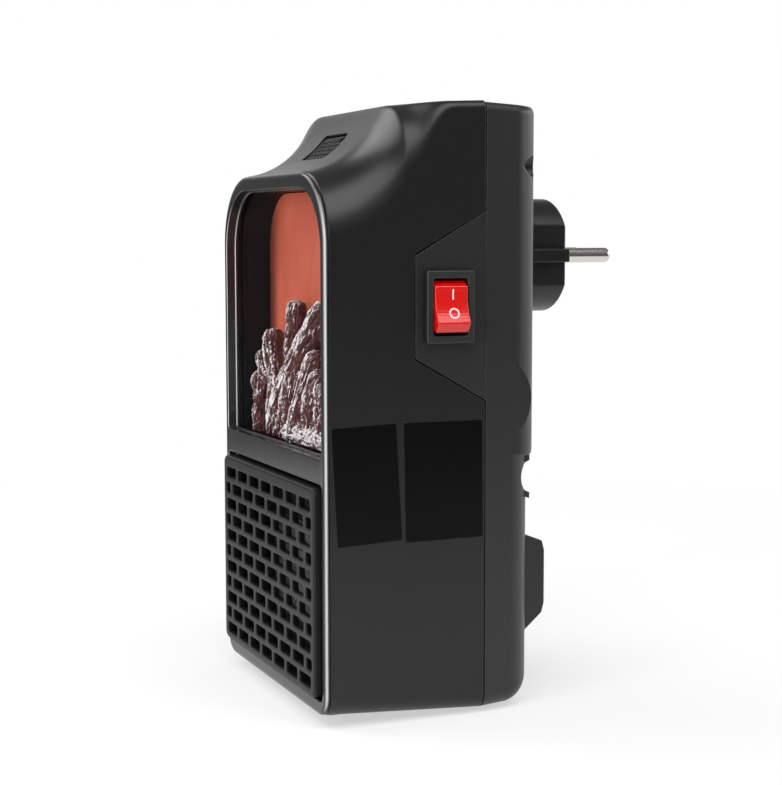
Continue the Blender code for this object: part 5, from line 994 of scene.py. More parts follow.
@dataclass
class RearShell:
    """Rear half of the housing: a tray with a stepped back, a tongue, a wall spacer and screw recesses."""
    corner_radius: float = 0.0090
    foot_radius: float = 0.0095
    top_edge: float = 0.0014
    foot_slope: float = 0.06
    step_height: float = 0.0762
    step_rise: float = 0.0038
    channel_height: float = 0.0698
    channel_radius: float = 0.0050
    channel_depth: float = 0.0046
    drum_radius: float = 0.0143
    drum_height: float = 0.0938
    drum_inset: float = 0.0005
    drum_back: float = 0.0012
    spacer_width: float = 0.0700
    spacer_reach: float = 0.0084
    spacer_crown: float = 0.0008
    spacer_slope: float = 0.0030
    spacer_low: float = 0.0193
    spacer_rise: float = 0.0320
    face_low: float = 0.0258
    face_rise: float = 0.0225
    spacer_edge: float = 0.0010
    slots: int = 9
    slot_width: float = 0.0030
    slot_pitch: float = 0.0062
    slot_margin: float = 0.0020
    slot_corner: float = 0.0010
    tongue_recess: float = 0.0001
    screw_inset: float = 0.0040
    draft: float = 0.0005
    crown: float = 0.0006
    upper_screw: float = 0.1621
    lower_screw: float = 0.0150
    lower_inset: float = 0.0130
    recess_radius: float = 0.0031
    recess_floor: float = 0.0025
    boss_radius: float = 0.0042
    plug_hole: float = 0.01665
    plug_height: float = 0.1354
    pad_width: float = 0.0620
    pad_length: float = 0.0070
    pad_height: float = 0.0020
    pad_edge: float = 0.0008
    pad_setback: float = 0.0010
    spacer_smooth: float = 8.0
    tongue_sink: float = 0.0004
    backing_margin: float = 0.0010
    backing_wall: float = 0.0008
    backing_overlap: float = 0.0001
    arc_steps: int = 12

    @staticmethod
    def drawn_in(y: float, plane: float, radius: float) -> float:
        """How far a quarter round that ends at a plane has drawn in at y."""
        start = plane - radius
        if y <= start:
            return 0.0
        return radius - math.sqrt(max(radius ** 2 - (y - start) ** 2, 0.0))

    def ring(self, y: float, plane: float, inset: float, low: float | None) -> list[Point]:
        """The section at y, for a rear face at the plane."""
        side = self.drawn_in(y, plane, self.corner_radius - inset)
        foot = self.drawn_in(y, plane, self.foot_radius - inset)
        crown = self.drawn_in(y, plane, max(self.top_edge - inset, FORM.inner_radius / 2))
        depth = share(y, FORM.parting_y, plane)
        side += self.draft * depth + self.crown * depth ** 2
        rise = self.foot_slope * (y - FORM.parting_y)
        bottom = FORM.parting_lift + rise + foot + inset if low is None else low
        top = blend(FORM.rear_top + FORM.rear_top_fall, FORM.rear_top,
                    share(y, FORM.parting_y, FORM.rear_y)) - crown - inset
        radius = max(FORM.parting_bottom_radius - inset - foot / 2, FORM.inner_radius)
        loop = outline(FORM.half_width - inset - side, bottom, top,
                       FORM.inner_radius if low is not None else radius,
                       max(FORM.parting_top_radius - inset, FORM.inner_radius), 8, 10)
        return [(x, y, z) for x, z in loop]

    def tray(self, first: float, plane: float, inset: float = 0.0, low: float | None = None) -> Solid:
        """The closed solid of the shell's outside, or of its hollow, up to a rear plane."""
        radius = self.corner_radius - inset
        start = plane - radius
        ys = [first, start] + [start + radius * math.sin(math.pi / 2 * (k + 1) / self.arc_steps)
                               for k in range(self.arc_steps)]
        crown = max(self.top_edge - inset, FORM.inner_radius / 2)
        ys += [plane - crown * (1 - math.sin(math.pi / 2 * k / 4)) for k in range(4)]
        rings = []
        for y in sorted(set(ys)):
            foot = None if low is None else low + self.step_rise * share(y, FORM.lower_rear_y, FORM.rear_y)
            rings.append(self.ring(y, plane, inset, foot))
        return Solid.loft(rings)

    def spacer(self, inset: float) -> Solid:
        """The raised wall spacer behind the fan, or its hollow."""
        lower = FORM.lower_rear_y
        base = lower - (FORM.wall / 2 if inset == 0 else 2 * FORM.wall)
        face = lower + self.spacer_reach - inset
        low, high = self.spacer_low + inset, self.spacer_low + self.spacer_rise - inset
        face_low = self.face_low + inset / 2
        face_high = self.face_low + self.face_rise - inset / 2
        crown, slope = self.spacer_crown, self.spacer_slope
        loop = [(base, low), (lower, low), (face - crown, face_low), (face, face_low + slope),
                (face, face_high - slope), (face - crown, face_high), (lower, high), (base, high)]
        half = self.spacer_width / 2 - inset
        piece = Solid.prism(loop, -half, half, Axis.X)
        return piece.bevel(self.spacer_edge, 4, self.spacer_smooth) if inset == 0 else piece

    def screws(self) -> list[tuple[float, float]]:
        """Places of the four screws as (x, z)."""
        upper, lower = FORM.half_width - self.screw_inset, FORM.half_width - self.lower_inset
        return [(-upper, self.upper_screw), (upper, self.upper_screw),
                (-lower, self.lower_screw), (lower, self.lower_screw)]

    def boss(self, x: float, z: float) -> Solid:
        """A tube inside the shell round a screw's recess."""
        plane = FORM.rear_y if z > self.step_height else FORM.lower_rear_y
        axis = x
        if z > self.step_height:
            axis = x - math.copysign(self.boss_radius - self.screw_inset + FORM.wall / 2, x)
        post = Solid.drum(self.boss_radius, (axis, FORM.parting_y + FORM.seam_gap / 2, z),
                          (axis, plane - FORM.wall / 2, z), HOLE_STEPS)
        return post.combine("INTERSECT", [self.tray(FORM.parting_y - OVERRUN, plane, FORM.wall / 2)])

    def build(self) -> None:
        """Make the shell with its tongue, its spacer and its openings."""
        first = FORM.parting_y + FORM.seam_gap / 2
        shell = self.tray(first, FORM.lower_rear_y)
        reach = FORM.half_width - self.drum_inset
        axis_y = FORM.parting_y + self.drum_back
        bulge = Solid.drum(self.drum_radius, (-reach, axis_y, self.drum_height),
                           (reach, axis_y, self.drum_height), 2 * ROUND_STEPS)
        wide, height = 2 * self.drum_radius, self.drum_height
        bulge.cut(Solid.block((-2 * reach, 2 * reach), (axis_y - wide, first + FORM.seam_gap),
                              (height - wide, height + wide)))
        shell.join(self.tray(first, FORM.rear_y, 0.0, self.step_height), bulge, self.spacer(0.0))
        shell.cut(self.tray(FORM.parting_y - OVERRUN, FORM.lower_rear_y - FORM.wall, FORM.wall))
        channel_y = FORM.lower_rear_y - self.channel_depth + self.channel_radius
        half = FORM.half_width - 2 * FORM.wall
        rib = Solid.drum(self.channel_radius + FORM.wall, (-half, channel_y, self.channel_height),
                         (half, channel_y, self.channel_height), HOLE_STEPS)
        rib.cut(Solid.block((-2 * half, 2 * half), (FORM.lower_rear_y - FORM.wall / 2, 2 * FORM.rear_y),
                            (0, 2 * self.channel_height)))
        shell.join(rib)
        shell.cut(Solid.drum(self.channel_radius, (-2 * half, channel_y, self.channel_height),
                             (2 * half, channel_y, self.channel_height)), self.spacer(FORM.wall))
        self.pierce(shell)
        behind = FORM.half_width - FORM.wall - self.tongue_sink
        tongue = Solid.prism(FORM.tongue_loop(0.0, FORM.wall), behind, FORM.half_width - self.tongue_recess,
                             Axis.X)
        backing = Solid.prism(FORM.tongue_loop(self.backing_margin, FORM.wall / 2),
                              behind - self.backing_wall, behind + self.backing_overlap, Axis.X)
        shell.join(tongue, backing)
        shell.cut(RockerSwitch().opening())
        shell.dress("rear_shell_moulding", REAR_ABS, "black_abs", ["rear_shell"])

    def pierce(self, shell: Solid) -> None:
        """Cut the intake slots, the plug's hole and the screw recesses, and add the rear pad."""
        face = FORM.lower_rear_y + self.spacer_reach
        low, high = self.face_low + self.slot_margin, self.face_low + self.face_rise - self.slot_margin
        cutters = []
        for number in range(self.slots):
            x = (number - (self.slots - 1) / 2) * self.slot_pitch
            loop = rounded(self.slot_width, high - low, self.slot_corner, (x, (low + high) / 2))
            cutters.append(Solid.prism(loop, face - 2 * FORM.wall, face + FORM.wall))
        shell.cut(cutters[0].join(*cutters[1:]))
        start = FORM.parting_y + FORM.seam_gap / 2 + self.pad_setback
        pad = Solid.block((-self.pad_width / 2, self.pad_width / 2), (start, start + self.pad_length),
                          (0, self.pad_height))
        shell.join(pad.bevel(self.pad_edge))
        shell.cut(Solid.drum(self.plug_hole, (0, FORM.lower_rear_y - 3 * FORM.wall, self.plug_height),
                             (0, FORM.rear_y + OVERRUN, self.plug_height)))
        for x, z in self.screws():
            floor = FORM.parting_y + self.recess_floor
            shell.join(self.boss(x, z))
            shell.cut(Solid.drum(self.recess_radius, (x, floor, z), (x, FORM.rear_y + OVERRUN, z),
                                 HOLE_STEPS))


@dataclass
class Bezel:
    """Front frame: arched rim, window opening with a deep reveal, sill bar and grille opening."""
    thickness: float = 0.0012
    edge_depth: float = 0.0011
    edge_reach: float = 0.0018
    inner_round: float = 0.0004
    lip: float = 0.0005
    lip_depth: float = 0.0008

    def outer_loop(self, grow: float) -> Loop:
        """The frame's outer outline as (x, z) points, grown evenly."""
        return outline(FORM.half_width + grow, FORM.bottom_height(FORM.front_y) - grow, FORM.bezel_top + grow,
                       FORM.front_bottom_radius + grow, FORM.front_top_radius + grow)

    def reveal(self, wall: float) -> list[tuple[float, float]]:
        """Section of an opening: a rounded edge, a deep reveal, and the back of its wall."""
        rim = [(-growth, depth) for growth, depth in quarter_round(self.inner_round, 3)]
        start = FORM.reveal_depth - self.lip_depth
        step = [(0, start), (-self.lip / 2, start), (-self.lip, start + self.lip / 2)]
        return rim + step + [(x, FORM.reveal_depth) for x in (-self.lip, wall)] + [(wall, self.thickness)]

    def build(self) -> None:
        """Make the frame as one pierced plate."""
        edge = [(growth * self.edge_reach, depth * self.edge_depth)
                for growth, depth in quarter_round(1.0, 9)]
        outer = Rim(self.outer_loop, edge + [(0, self.thickness)])
        openings = [Rim(FORM.window_loop, self.reveal(FORM.reveal_wall)),
                    Rim(FORM.grille_opening_loop, self.reveal(FORM.reveal_wall / 2))]
        frame_piece = Solid.pierced(outer, openings, FORM.front_y)
        frame_piece.dress("front_frame", FRAME_ABS, "dark_abs", ["front_bezel"])


@dataclass
class OutletGrille:
    """Proud pierced plate with rounded edges, brick-offset holes and a skirt behind it."""
    gap: float = 0.0010
    proud: float = 0.0020
    plate: float = 0.0020
    skirt: float = 0.0046
    skirt_wall: float = 0.0014
    edge: float = 0.0009
    corner: float = 0.0026
    rows: int = 11
    columns: int = 7
    row_pitch: float = 0.00518
    column_pitch: float = 0.01132
    hole_width: float = 0.0092
    hole_height: float = 0.0034
    low_row: float = 0.01287
    hole_edge: float = 0.00040
    hole_corner: float = 0.0007

    def outer_loop(self, grow: float) -> Loop:
        """The plate's outline as (x, z) points, grown evenly."""
        radius = self.corner + grow
        return outline(FORM.half_width - FORM.bezel_bar - self.gap + grow, FORM.grille_low + self.gap - grow,
                       FORM.sill - FORM.mid_bar - self.gap + grow, radius, radius, 6, 6)

    def hole(self, left: float, right: float, z: float) -> Rim:
        """One hole with a rounded rim."""
        middle, width = (left + right) / 2, right - left

        def loop(grow: float) -> Loop:
            return rounded(width + 2 * grow, self.hole_height + 2 * grow, self.hole_corner + grow,
                           (middle, z), 3)
        rim = [(-growth, depth) for growth, depth in quarter_round(self.hole_edge, 3)]
        return Rim(loop, rim + [(0, self.plate)])

    def build(self) -> None:
        """Make the plate; a hole that meets the border is shortened there."""
        limit = FORM.half_width - FORM.bezel_bar - self.gap - self.skirt_wall - self.edge
        holes = []
        for row in range(self.rows):
            count = self.columns + row % 2
            for column in range(count):
                x = (column - (count - 1) / 2) * self.column_pitch
                left, right = max(x - self.hole_width / 2, -limit), min(x + self.hole_width / 2, limit)
                holes.append(self.hole(left, right, self.low_row + row * self.row_pitch))
        back = self.plate + self.skirt
        outer = Rim(self.outer_loop, quarter_round(self.edge, 5)
                    + [(0, back), (-self.skirt_wall, back), (-self.skirt_wall, self.plate)])
        plate = Solid.pierced(outer, holes, FORM.front_y - self.proud)
        plate.dress("outlet_grille_plate", GRILLE_ABS, "grille_black", ["outlet_grille"])


# Waves of the bark: fineness, offset, stretch along the log, weight, and whether it is folded into cracks
BARK_WAVES = ((1.0, 3.1, 0.10, 0.55, False), (2.7, 7.7, 0.32, 0.6, False), (0.6, 1.3, 0.16, 0.5, False),
              (1.4, 5.0, 0.22, 0.5, True), (0.9, 9.4, 0.62, 0.45, True))


@dataclass
class LogTube:
    """One cast log: a bent tapered branch through points, with bark raised along it."""
    points: Sequence[Point]
    start_radius: float
    end_radius: float
    seed: float
    rings: int = 96
    around: int = 60
    relief: float = 0.72
    grain: float = 2.6
    bark_offset: float = -0.5
    swell: float = 0.10
    swell_pace: float = 3
    blunt_end: float = 0.55
    step: float = 0.02
    streak: float = 0.22
    seed_shift: float = 9
    end_height: float = 0.35

    def centre(self, t: float) -> Vector:
        """A point on the log's smooth axis, in millimetres."""
        route = [Vector(p) for p in self.points]
        route = [2 * route[0] - route[1]] + route + [2 * route[-1] - route[-2]]
        spans = len(self.points) - 1
        i = min(int(t * spans), spans - 1)
        s = t * spans - i
        a, b, c, d = route[i:i + 4]
        return (2 * b + (c - a) * s + (2 * a - 5 * b + 4 * c - d) * s ** 2
                + (3 * b - a - 3 * c + d) * s ** 3) / 2

    def bark(self, angle: float, along: float) -> float:
        """Height of the bark between about -1 and 1: ridges that run along and cross cracks."""
        around = Vector((math.cos(angle), math.sin(angle), 0)) * self.grain
        total = 0.0
        for fineness, offset, stretch, weight, cracked in BARK_WAVES:
            wave = noise.noise(around * fineness + Vector((self.seed, offset, along * stretch)))
            total += weight * (1 - 2 * abs(wave) if cracked else wave)
        return total + self.bark_offset

    def add(self, bm: bmesh.types.BMesh, keep: Callable[[Vector], Vector]) -> None:
        """Add the log to a mesh, held inside the firebox by the keep function."""
        coords = bm.verts.layers.float_vector["bark_coords"]
        level = bm.verts.layers.float["bark_height"]
        length = sum((Vector(b) - Vector(a)).length for a, b in zip(self.points, self.points[1:]))
        layers = []
        for i in range(self.rings + 1):
            t = i / self.rings
            middle = self.centre(t)
            ahead = (self.centre(min(t + self.step, 1)) - self.centre(max(t - self.step, 0))).normalized()
            side = ahead.cross(Vector((0, 1, 0))).normalized()
            depth = side.cross(ahead)
            radius = blend(self.start_radius, self.end_radius, t)
            left = min(t, 1 - t) * length / radius
            dome = math.sqrt(max(1 - (1 - left) ** 2, 0.0)) if left < 1 else 1.0
            radius *= self.blunt_end + (1 - self.blunt_end) * dome
            layer = []
            for k in range(self.around):
                angle = 2 * math.pi * k / self.around
                height = self.bark(angle, t * length)
                swell = self.swell * noise.noise(Vector((angle, self.seed, t * self.swell_pace)))
                reach = radius * (1 + swell) + self.relief * height
                spot = middle + (side * math.cos(angle) + depth * math.sin(angle)) * reach
                vertex = bm.verts.new(keep(spot) * MM)
                vertex[coords] = Vector((math.cos(angle) * radius, math.sin(angle) * radius,
                                         t * length * self.streak + self.seed * self.seed_shift))
                vertex[level] = 0.5 + 0.5 * height
                layer.append(vertex)
            layers.append(layer)
        for near, far in zip(layers, layers[1:]):
            skin(bm, near, far)
        for layer in (layers[0], layers[-1]):
            hub = bm.verts.new(sum((v.co for v in layer), Vector()) / self.around)
            hub[coords] = Vector((0, 0, self.seed * self.seed_shift))
            hub[level] = self.end_height
            for k in range(self.around):
                bm.faces.new((layer[k], layer[(k + 1) % self.around], hub))


@dataclass
class Firebox:
    """Pane, black firebox, flame screen and the heap of cast logs."""
    behind: float = 0.0113
    depth: float = 0.0210
    screen: float = 0.0012
    floor_mm: float = 77.75
    reach_mm: float = 40.6
    front_mm: float = -21.55
    back_mm: float = -13.05
    top_mm: float = 122.4

    @property
    def liner_front(self) -> float:
        """Where the firebox starts behind the pane."""
        return FORM.front_y + FORM.reveal_depth + 2 * FORM.fit_gap + FORM.pane

    def held(self, spot: Vector) -> Vector:
        """Keep a point in millimetres between the pane, the screen, the floor and the walls."""
        return Vector((min(max(spot.x, -self.reach_mm), self.reach_mm),
                       min(max(spot.y, self.front_mm), self.back_mm),
                       min(max(spot.z, self.floor_mm), self.top_mm)))

    def logs(self) -> list[LogTube]:
        """The logs of the heap, from the firebox floor to the leaning branches, in millimetres."""
        return [
            LogTube([(-37.2, -17.3, 77), (-37.6, -17.2, 87), (-36.8, -17.4, 97.5)], 3.4, 3.0, 0.3),
            LogTube([(-29, -17.3, 95), (-34, -17.5, 99.5), (-38, -17.6, 103.5)], 2.7, 2.4, 1.7),
            LogTube([(-18, -17.2, 91), (-23, -17.4, 100.5), (-27, -17.3, 111.5)], 3.5, 3.3, 2.9),
            LogTube([(-10, -17.0, 94), (-7, -17.2, 108), (-3.6, -17.3, 121.4)], 3.3, 3.0, 4.1),
            LogTube([(-23, -17.3, 81), (-14, -17.3, 93), (4, -17.3, 108), (21, -17.3, 120.5)], 4.3, 3.9, 5.3),
            LogTube([(-24, -17.2, 78), (-21, -17.4, 88), (-22, -17.2, 98)], 4.1, 3.6, 6.9),
            LogTube([(-14, -17.2, 78), (-9, -17.3, 90), (-2, -17.2, 102)], 4.2, 3.8, 8.2),
            LogTube([(-3, -17.3, 79), (3, -17.4, 92), (15, -17.3, 106)], 4.2, 3.8, 9.6),
            LogTube([(10, -17.2, 79), (11, -17.4, 90), (18, -17.2, 101)], 4.1, 3.7, 10.4),
            LogTube([(21, -17.3, 78), (21.5, -17.4, 88), (20, -17.3, 98)], 4.2, 3.6, 11.8),
            LogTube([(38, -17.3, 86), (31, -17.3, 101), (27, -17.3, 118)], 3.9, 3.3, 13.0),
            LogTube([(20, -17.1, 92), (29, -17.3, 102), (38, -17.3, 111)], 3.3, 2.8, 14.1),
            LogTube([(30, -17.2, 78), (30, -17.4, 88), (33, -17.2, 97)], 4.2, 3.8, 15.2),
            LogTube([(-10, -17.9, 80.4), (12, -18.0, 80.9), (39, -17.8, 80.6)], 3.5, 3.7, 16.6),
        ]

    def build(self) -> None:
        """Make the firebox, the screen and the heap, and finish the pane."""
        first = self.liner_front
        back = first + self.depth
        liner = Solid.prism(FORM.liner_loop(0.0), first, back)
        liner.cut(Solid.prism(FORM.liner_loop(-FORM.liner_wall), first - OVERRUN, back - FORM.liner_wall))
        liner.dress("firebox_tray", HOT_MOULDING, "heater_black", ["firebox_liner"])
        start = FORM.front_y + FORM.reveal_depth + self.behind
        screen = Solid.prism(FORM.liner_loop(-FORM.liner_wall - FORM.fit_gap), start, start + self.screen)
        screen.dress("flame_diffuser_sheet", FLAME, "flame_orange", ["flame_screen"])
        bm = bmesh.new()
        bm.verts.layers.float_vector.new("bark_coords")
        bm.verts.layers.float.new("bark_height")
        for log in self.logs():
            log.add(bm, self.held)
        Solid(bm).dress("cast_logs", BARK, "bark", ["log_bed"])


@dataclass
class MainsPlug:
    """Round plug body with two flats and a rib, and its two pins."""
    height: float = 0.1354
    radius: float = 0.01815
    flat: float = 0.0156
    reach: float = 0.0240
    edge: float = 0.0008
    rib: float = 0.0041
    neck_inset: float = 0.0018
    pin_radius: float = 0.0024
    pin_length: float = 0.0190
    pin_spacing: float = 0.0190
    pin_tail: float = 0.0350
    tip_round: float = 0.0016
    pin_gap: float = 0.00015
    sharp: float = 50.0

    def section(self) -> Loop:
        """Round outline with two flats, as (x, z) points."""
        corner = math.degrees(math.acos(self.flat / self.radius))
        points = arc((0, self.height), self.radius, corner, 180 - corner, 40)
        return points + arc((0, self.height), self.radius, 180 + corner, 360 - corner, 40)

    def build(self) -> None:
        """Make the plug and its pins."""
        first = FORM.rear_y + FORM.fit_gap
        face = FORM.rear_y + self.reach
        plug = Solid.prism(self.section(), first, face).bevel(self.edge, 4, self.sharp)
        rib = Solid.block((-self.radius, self.radius), (first + self.edge, face),
                          (self.height - self.rib / 2, self.height + self.rib / 2)).bevel(self.edge / 2, 3)
        neck = Solid.drum(self.radius - self.neck_inset, (0, FORM.lower_rear_y - FORM.wall, self.height),
                          (0, first + 2 * self.edge, self.height))
        plug.join(rib, neck)
        for number, x in enumerate((-self.pin_spacing / 2, self.pin_spacing / 2), 1):
            plug.cut(Solid.drum(self.pin_radius + self.pin_gap, (x, 0, self.height),
                                (x, face + OVERRUN, self.height), HOLE_STEPS))
            length = self.pin_tail + self.pin_length
            tip = [(r, y) for y, r in arc((length - self.tip_round, self.pin_radius - self.tip_round),
                                          self.tip_round, 90, 0, 8)]
            profile = [(0, 0), (self.pin_radius, 0)] + tip + [(0, length)]
            pin = Solid.turned(profile, (x, face - self.pin_tail, self.height), 40)
            pin.dress("plug_pin_%d_turned" % number, NICKEL, "nickel", ["plug_pin_%d" % number])
        plug.dress("plug_moulding", BLACK_ABS, "black_abs", ["plug_body"])


@dataclass
class RockerSwitch:
    """Snap-in switch on the tongue: nylon frame, red rocker and its two marks."""
    y: float = 0.0109
    height: float = 0.12135
    flange_length: float = 0.0210
    flange_width: float = 0.0150
    flange: float = 0.0018
    body_length: float = 0.0190
    body_width: float = 0.0128
    body_depth: float = 0.0125
    edge: float = 0.0004
    rocker_length: float = 0.0154
    rocker_width: float = 0.0104
    side_gap: float = 0.0003
    end_gap: float = 0.0006
    pivot_depth: float = 0.0015
    skirt: float = 0.0042
    crest: float = 0.0031
    dish: float = 0.0010
    end: float = 0.0007
    tilt: float = math.radians(12.0)
    pocket: float = 0.0092
    foot_share: float = 0.62
    nose_share: float = 0.70
    mark_rise: float = 0.00004
    mark_sink: float = 0.00015
    inner_edge: float = 0.00035
    outer_corner: float = 0.0001
    inner_corner: float = 0.0005
    overlap: float = 0.0002
    rocker_round: float = 0.00045
    rocker_smooth: float = 20.0
    trunnion: float = 0.0010
    trunnion_reach: float = 0.0005
    mark_shift: float = 0.0004
    line_place: float = 0.0032
    line_length: float = 0.0030
    ring_place: float = -0.0023
    ring_radius: float = 0.00165
    stroke: float = 0.0005

    @property
    def face(self) -> float:
        """Outer face of the frame."""
        return FORM.half_width + FORM.fit_gap + self.flange

    def opening(self) -> Solid:
        """A cutter for the body's hole in the tongue."""
        half_y, half_z = self.body_width / 2 + FORM.fit_gap, self.body_length / 2 + FORM.fit_gap
        return Solid.block((FORM.half_width - 3 * FORM.wall, FORM.half_width + OVERRUN),
                           (self.y - half_y, self.y + half_y), (self.height - half_z, self.height + half_z))

    def surface(self, z: float) -> float:
        """How far the rocker's dished face stands out at a height from its pivot."""
        nose = self.rocker_length / 2 * self.nose_share
        return self.crest - self.dish * math.cos(math.pi / 2 * min(abs(z) / nose, 1))

    def tipped(self, solid: Solid) -> Solid:
        """Move a solid from the rocker's own frame to its tipped place."""
        pivot = Vector((self.face - self.pivot_depth, self.y, self.height))
        return solid.moved(Matrix.Translation(pivot) @ Matrix.Rotation(-self.tilt, 4, "Y"))

    def build(self) -> None:
        """Make the frame, the rocker and the marks."""
        first = FORM.half_width + FORM.fit_gap
        edge = self.edge
        pocket_y = self.rocker_width / 2 + self.side_gap
        pocket_z = self.rocker_length / 2 + self.end_gap
        outer = Rim(lambda grow: rounded(self.flange_width + 2 * grow, self.flange_length + 2 * grow,
                                         edge + self.outer_corner + grow, (self.y, self.height), 5),
                    [(g, -d) for g, d in quarter_round(edge, 4)] + [(0, -self.flange)])
        inner = Rim(lambda grow: rounded(2 * pocket_y + 2 * grow, 2 * pocket_z + 2 * grow,
                                         self.inner_corner + grow, (self.y, self.height), 4),
                    [(-g, -d) for g, d in quarter_round(self.inner_edge, 3)] + [(0, -self.flange)])
        housing = Solid.pierced(outer, [inner], self.face, Axis.X)
        half_y, half_z = self.body_width / 2, self.body_length / 2
        body = Solid.block((first - self.body_depth, first + self.overlap),
                           (self.y - half_y, self.y + half_y),
                           (self.height - half_z, self.height + half_z))
        body.cut(Solid.block((self.face - self.pocket, self.face), (self.y - pocket_y, self.y + pocket_y),
                             (self.height - pocket_z, self.height + pocket_z)))
        housing.join(body)
        housing.dress("switch_frame", SWITCH_NYLON, "dark_abs", ["switch_housing"])
        self.rocker()
        self.marks()

    def rocker(self) -> None:
        """Make the dished rocker with its trunnions."""
        half = self.rocker_length / 2
        nose = half * self.nose_share
        steps = 14
        saddle = [(self.surface(nose * (1 - k / steps)), nose * (1 - k / steps))
                  for k in range(2 * steps + 1)]
        loop = [(-self.skirt, -half * self.foot_share), (-self.skirt, half * self.foot_share),
                (self.end, half)] + saddle + [(self.end, -half)]
        rocker = Solid.prism(loop, -self.rocker_width / 2, self.rocker_width / 2).bevel(
            self.rocker_round, 4, self.rocker_smooth)
        reach = self.rocker_width / 2 + self.side_gap + self.trunnion_reach
        rocker.join(Solid.drum(self.trunnion, (0, -reach, 0), (0, reach, 0), HOLE_STEPS))
        self.tipped(rocker).dress("rocker_cap", ROCKER_LENS, "lamp_red", ["switch_rocker"], "rocker")

    def marks(self) -> None:
        """Print the line on the upper half and the ring on the lower half."""
        rise, sink = self.mark_rise, self.mark_sink
        line = []
        for k in range(9):
            z = self.line_place + self.line_length * (k / 8 - 0.5)
            x, half = self.surface(z), self.stroke / 2
            first, last = self.mark_shift - half, self.mark_shift + half
            line.append([(x - sink, first, z), (x + rise, first, z),
                         (x + rise, last, z), (x - sink, last, z)])
        ring = []
        for k in range(48):
            turn = 2 * math.pi * k / 48
            section = []
            inner, outer = self.ring_radius - self.stroke, self.ring_radius
            for radius, lift in ((inner, -sink), (inner, rise), (outer, rise), (outer, -sink)):
                y = self.mark_shift + radius * math.cos(turn)
                z = self.ring_place + radius * math.sin(turn)
                section.append((self.surface(z) + lift, y, z))
            ring.append(section)
        self.tipped(Solid.loft(line)).dress("mark_line", WHITE_INK, "lamp_red", body="rocker")
        self.tipped(Solid.loft(ring, True)).dress("mark_ring", WHITE_INK, "lamp_red", body="rocker")


@dataclass
class BareLabels:
    """Two unprinted labels on the side wall under the switch, set a little askew."""
    thickness: float = 0.00012
    corner: float = 0.0006
    sink: float = 0.00005
    left: Loop = ((-0.0255, 0.0875), (-0.0237, 0.0534), (-0.0037, 0.0542), (-0.0056, 0.0882))
    right: Loop = ((-0.0031, 0.0882), (-0.0025, 0.0533), (0.0223, 0.0534), (0.0219, 0.0880))

    def sheet_loop(self, corners: Loop) -> Loop:
        """The sheet's outline as (y, z) points, with its corners rounded."""
        loop = []
        for k, corner in enumerate(corners):
            here = Vector(corner)
            before = (Vector(corners[k - 1]) - here).normalized() * self.corner
            after = (Vector(corners[(k + 1) % len(corners)]) - here).normalized() * self.corner
            for t in (k / 4 for k in range(5)):
                loop.append(tuple(here + before * (1 - t) ** 2 + after * t ** 2))
        return loop

    def build(self) -> None:
        """Make each label as a thin sheet with round corners."""
        for name, corners in (("left", self.left), ("right", self.right)):
            sheet = Solid.prism(self.sheet_loop(corners), FORM.half_width - self.sink,
                                FORM.half_width + self.thickness, Axis.X)
            sheet.bevel(self.thickness / 3, 2).dress("bare_label_" + name, LABEL_FILM, "black_abs")


@dataclass
class Insides:
    """The CAD nodes that show as they are, each with its own finish."""

    def finishes(self) -> dict[str, Finish]:
        """The finish of each node by its name's start."""
        groups = {PANE: ("window_pane",),
                  HOT_MOULDING: ("air_duct", "heater_frame", "fan_shroud", "capacitor", "thermal_cutout",
                                 "wire_motor_2"),
                  ROLLED_ALUMINIUM: ("electrode", "heating_bar", "fin_pack"),
                  ZINC_STEEL: ("fan_motor", "fan_shaft", "plug_screw", "shell_screw", "board_screw"),
                  GREY_MOULDING: ("fan_impeller",), FRAME_ABS: ("plug_retainer",),
                  NICKEL: ("switch_terminal",), BLUE_EPOXY: ("relay",), LAMP_LENS: ("lamp_",),
                  SOLDER_RESIST: ("control_board", "lamp_board"),
                  BROWN_PVC: ("wire_live", "wire_switched", "wire_heater_high", "wire_cutout"),
                  BLUE_PVC: ("wire_neutral", "wire_heater_low"), RED_PVC: ("wire_motor_1", "wire_lamps")}
        return {start: finish for finish, starts in groups.items() for start in starts}

    def dress(self) -> None:
        """Assign each finish to its nodes' material slots."""
        table = self.finishes()
        for name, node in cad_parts.items():
            matches = [start for start in table if name.startswith(start)]
            if matches:
                finish = table[max(matches, key=len)]
                node.data.materials.clear()
                node.data.materials.append(finish.material())
                LOG.info("%s: finished as %s", name, finish.name)


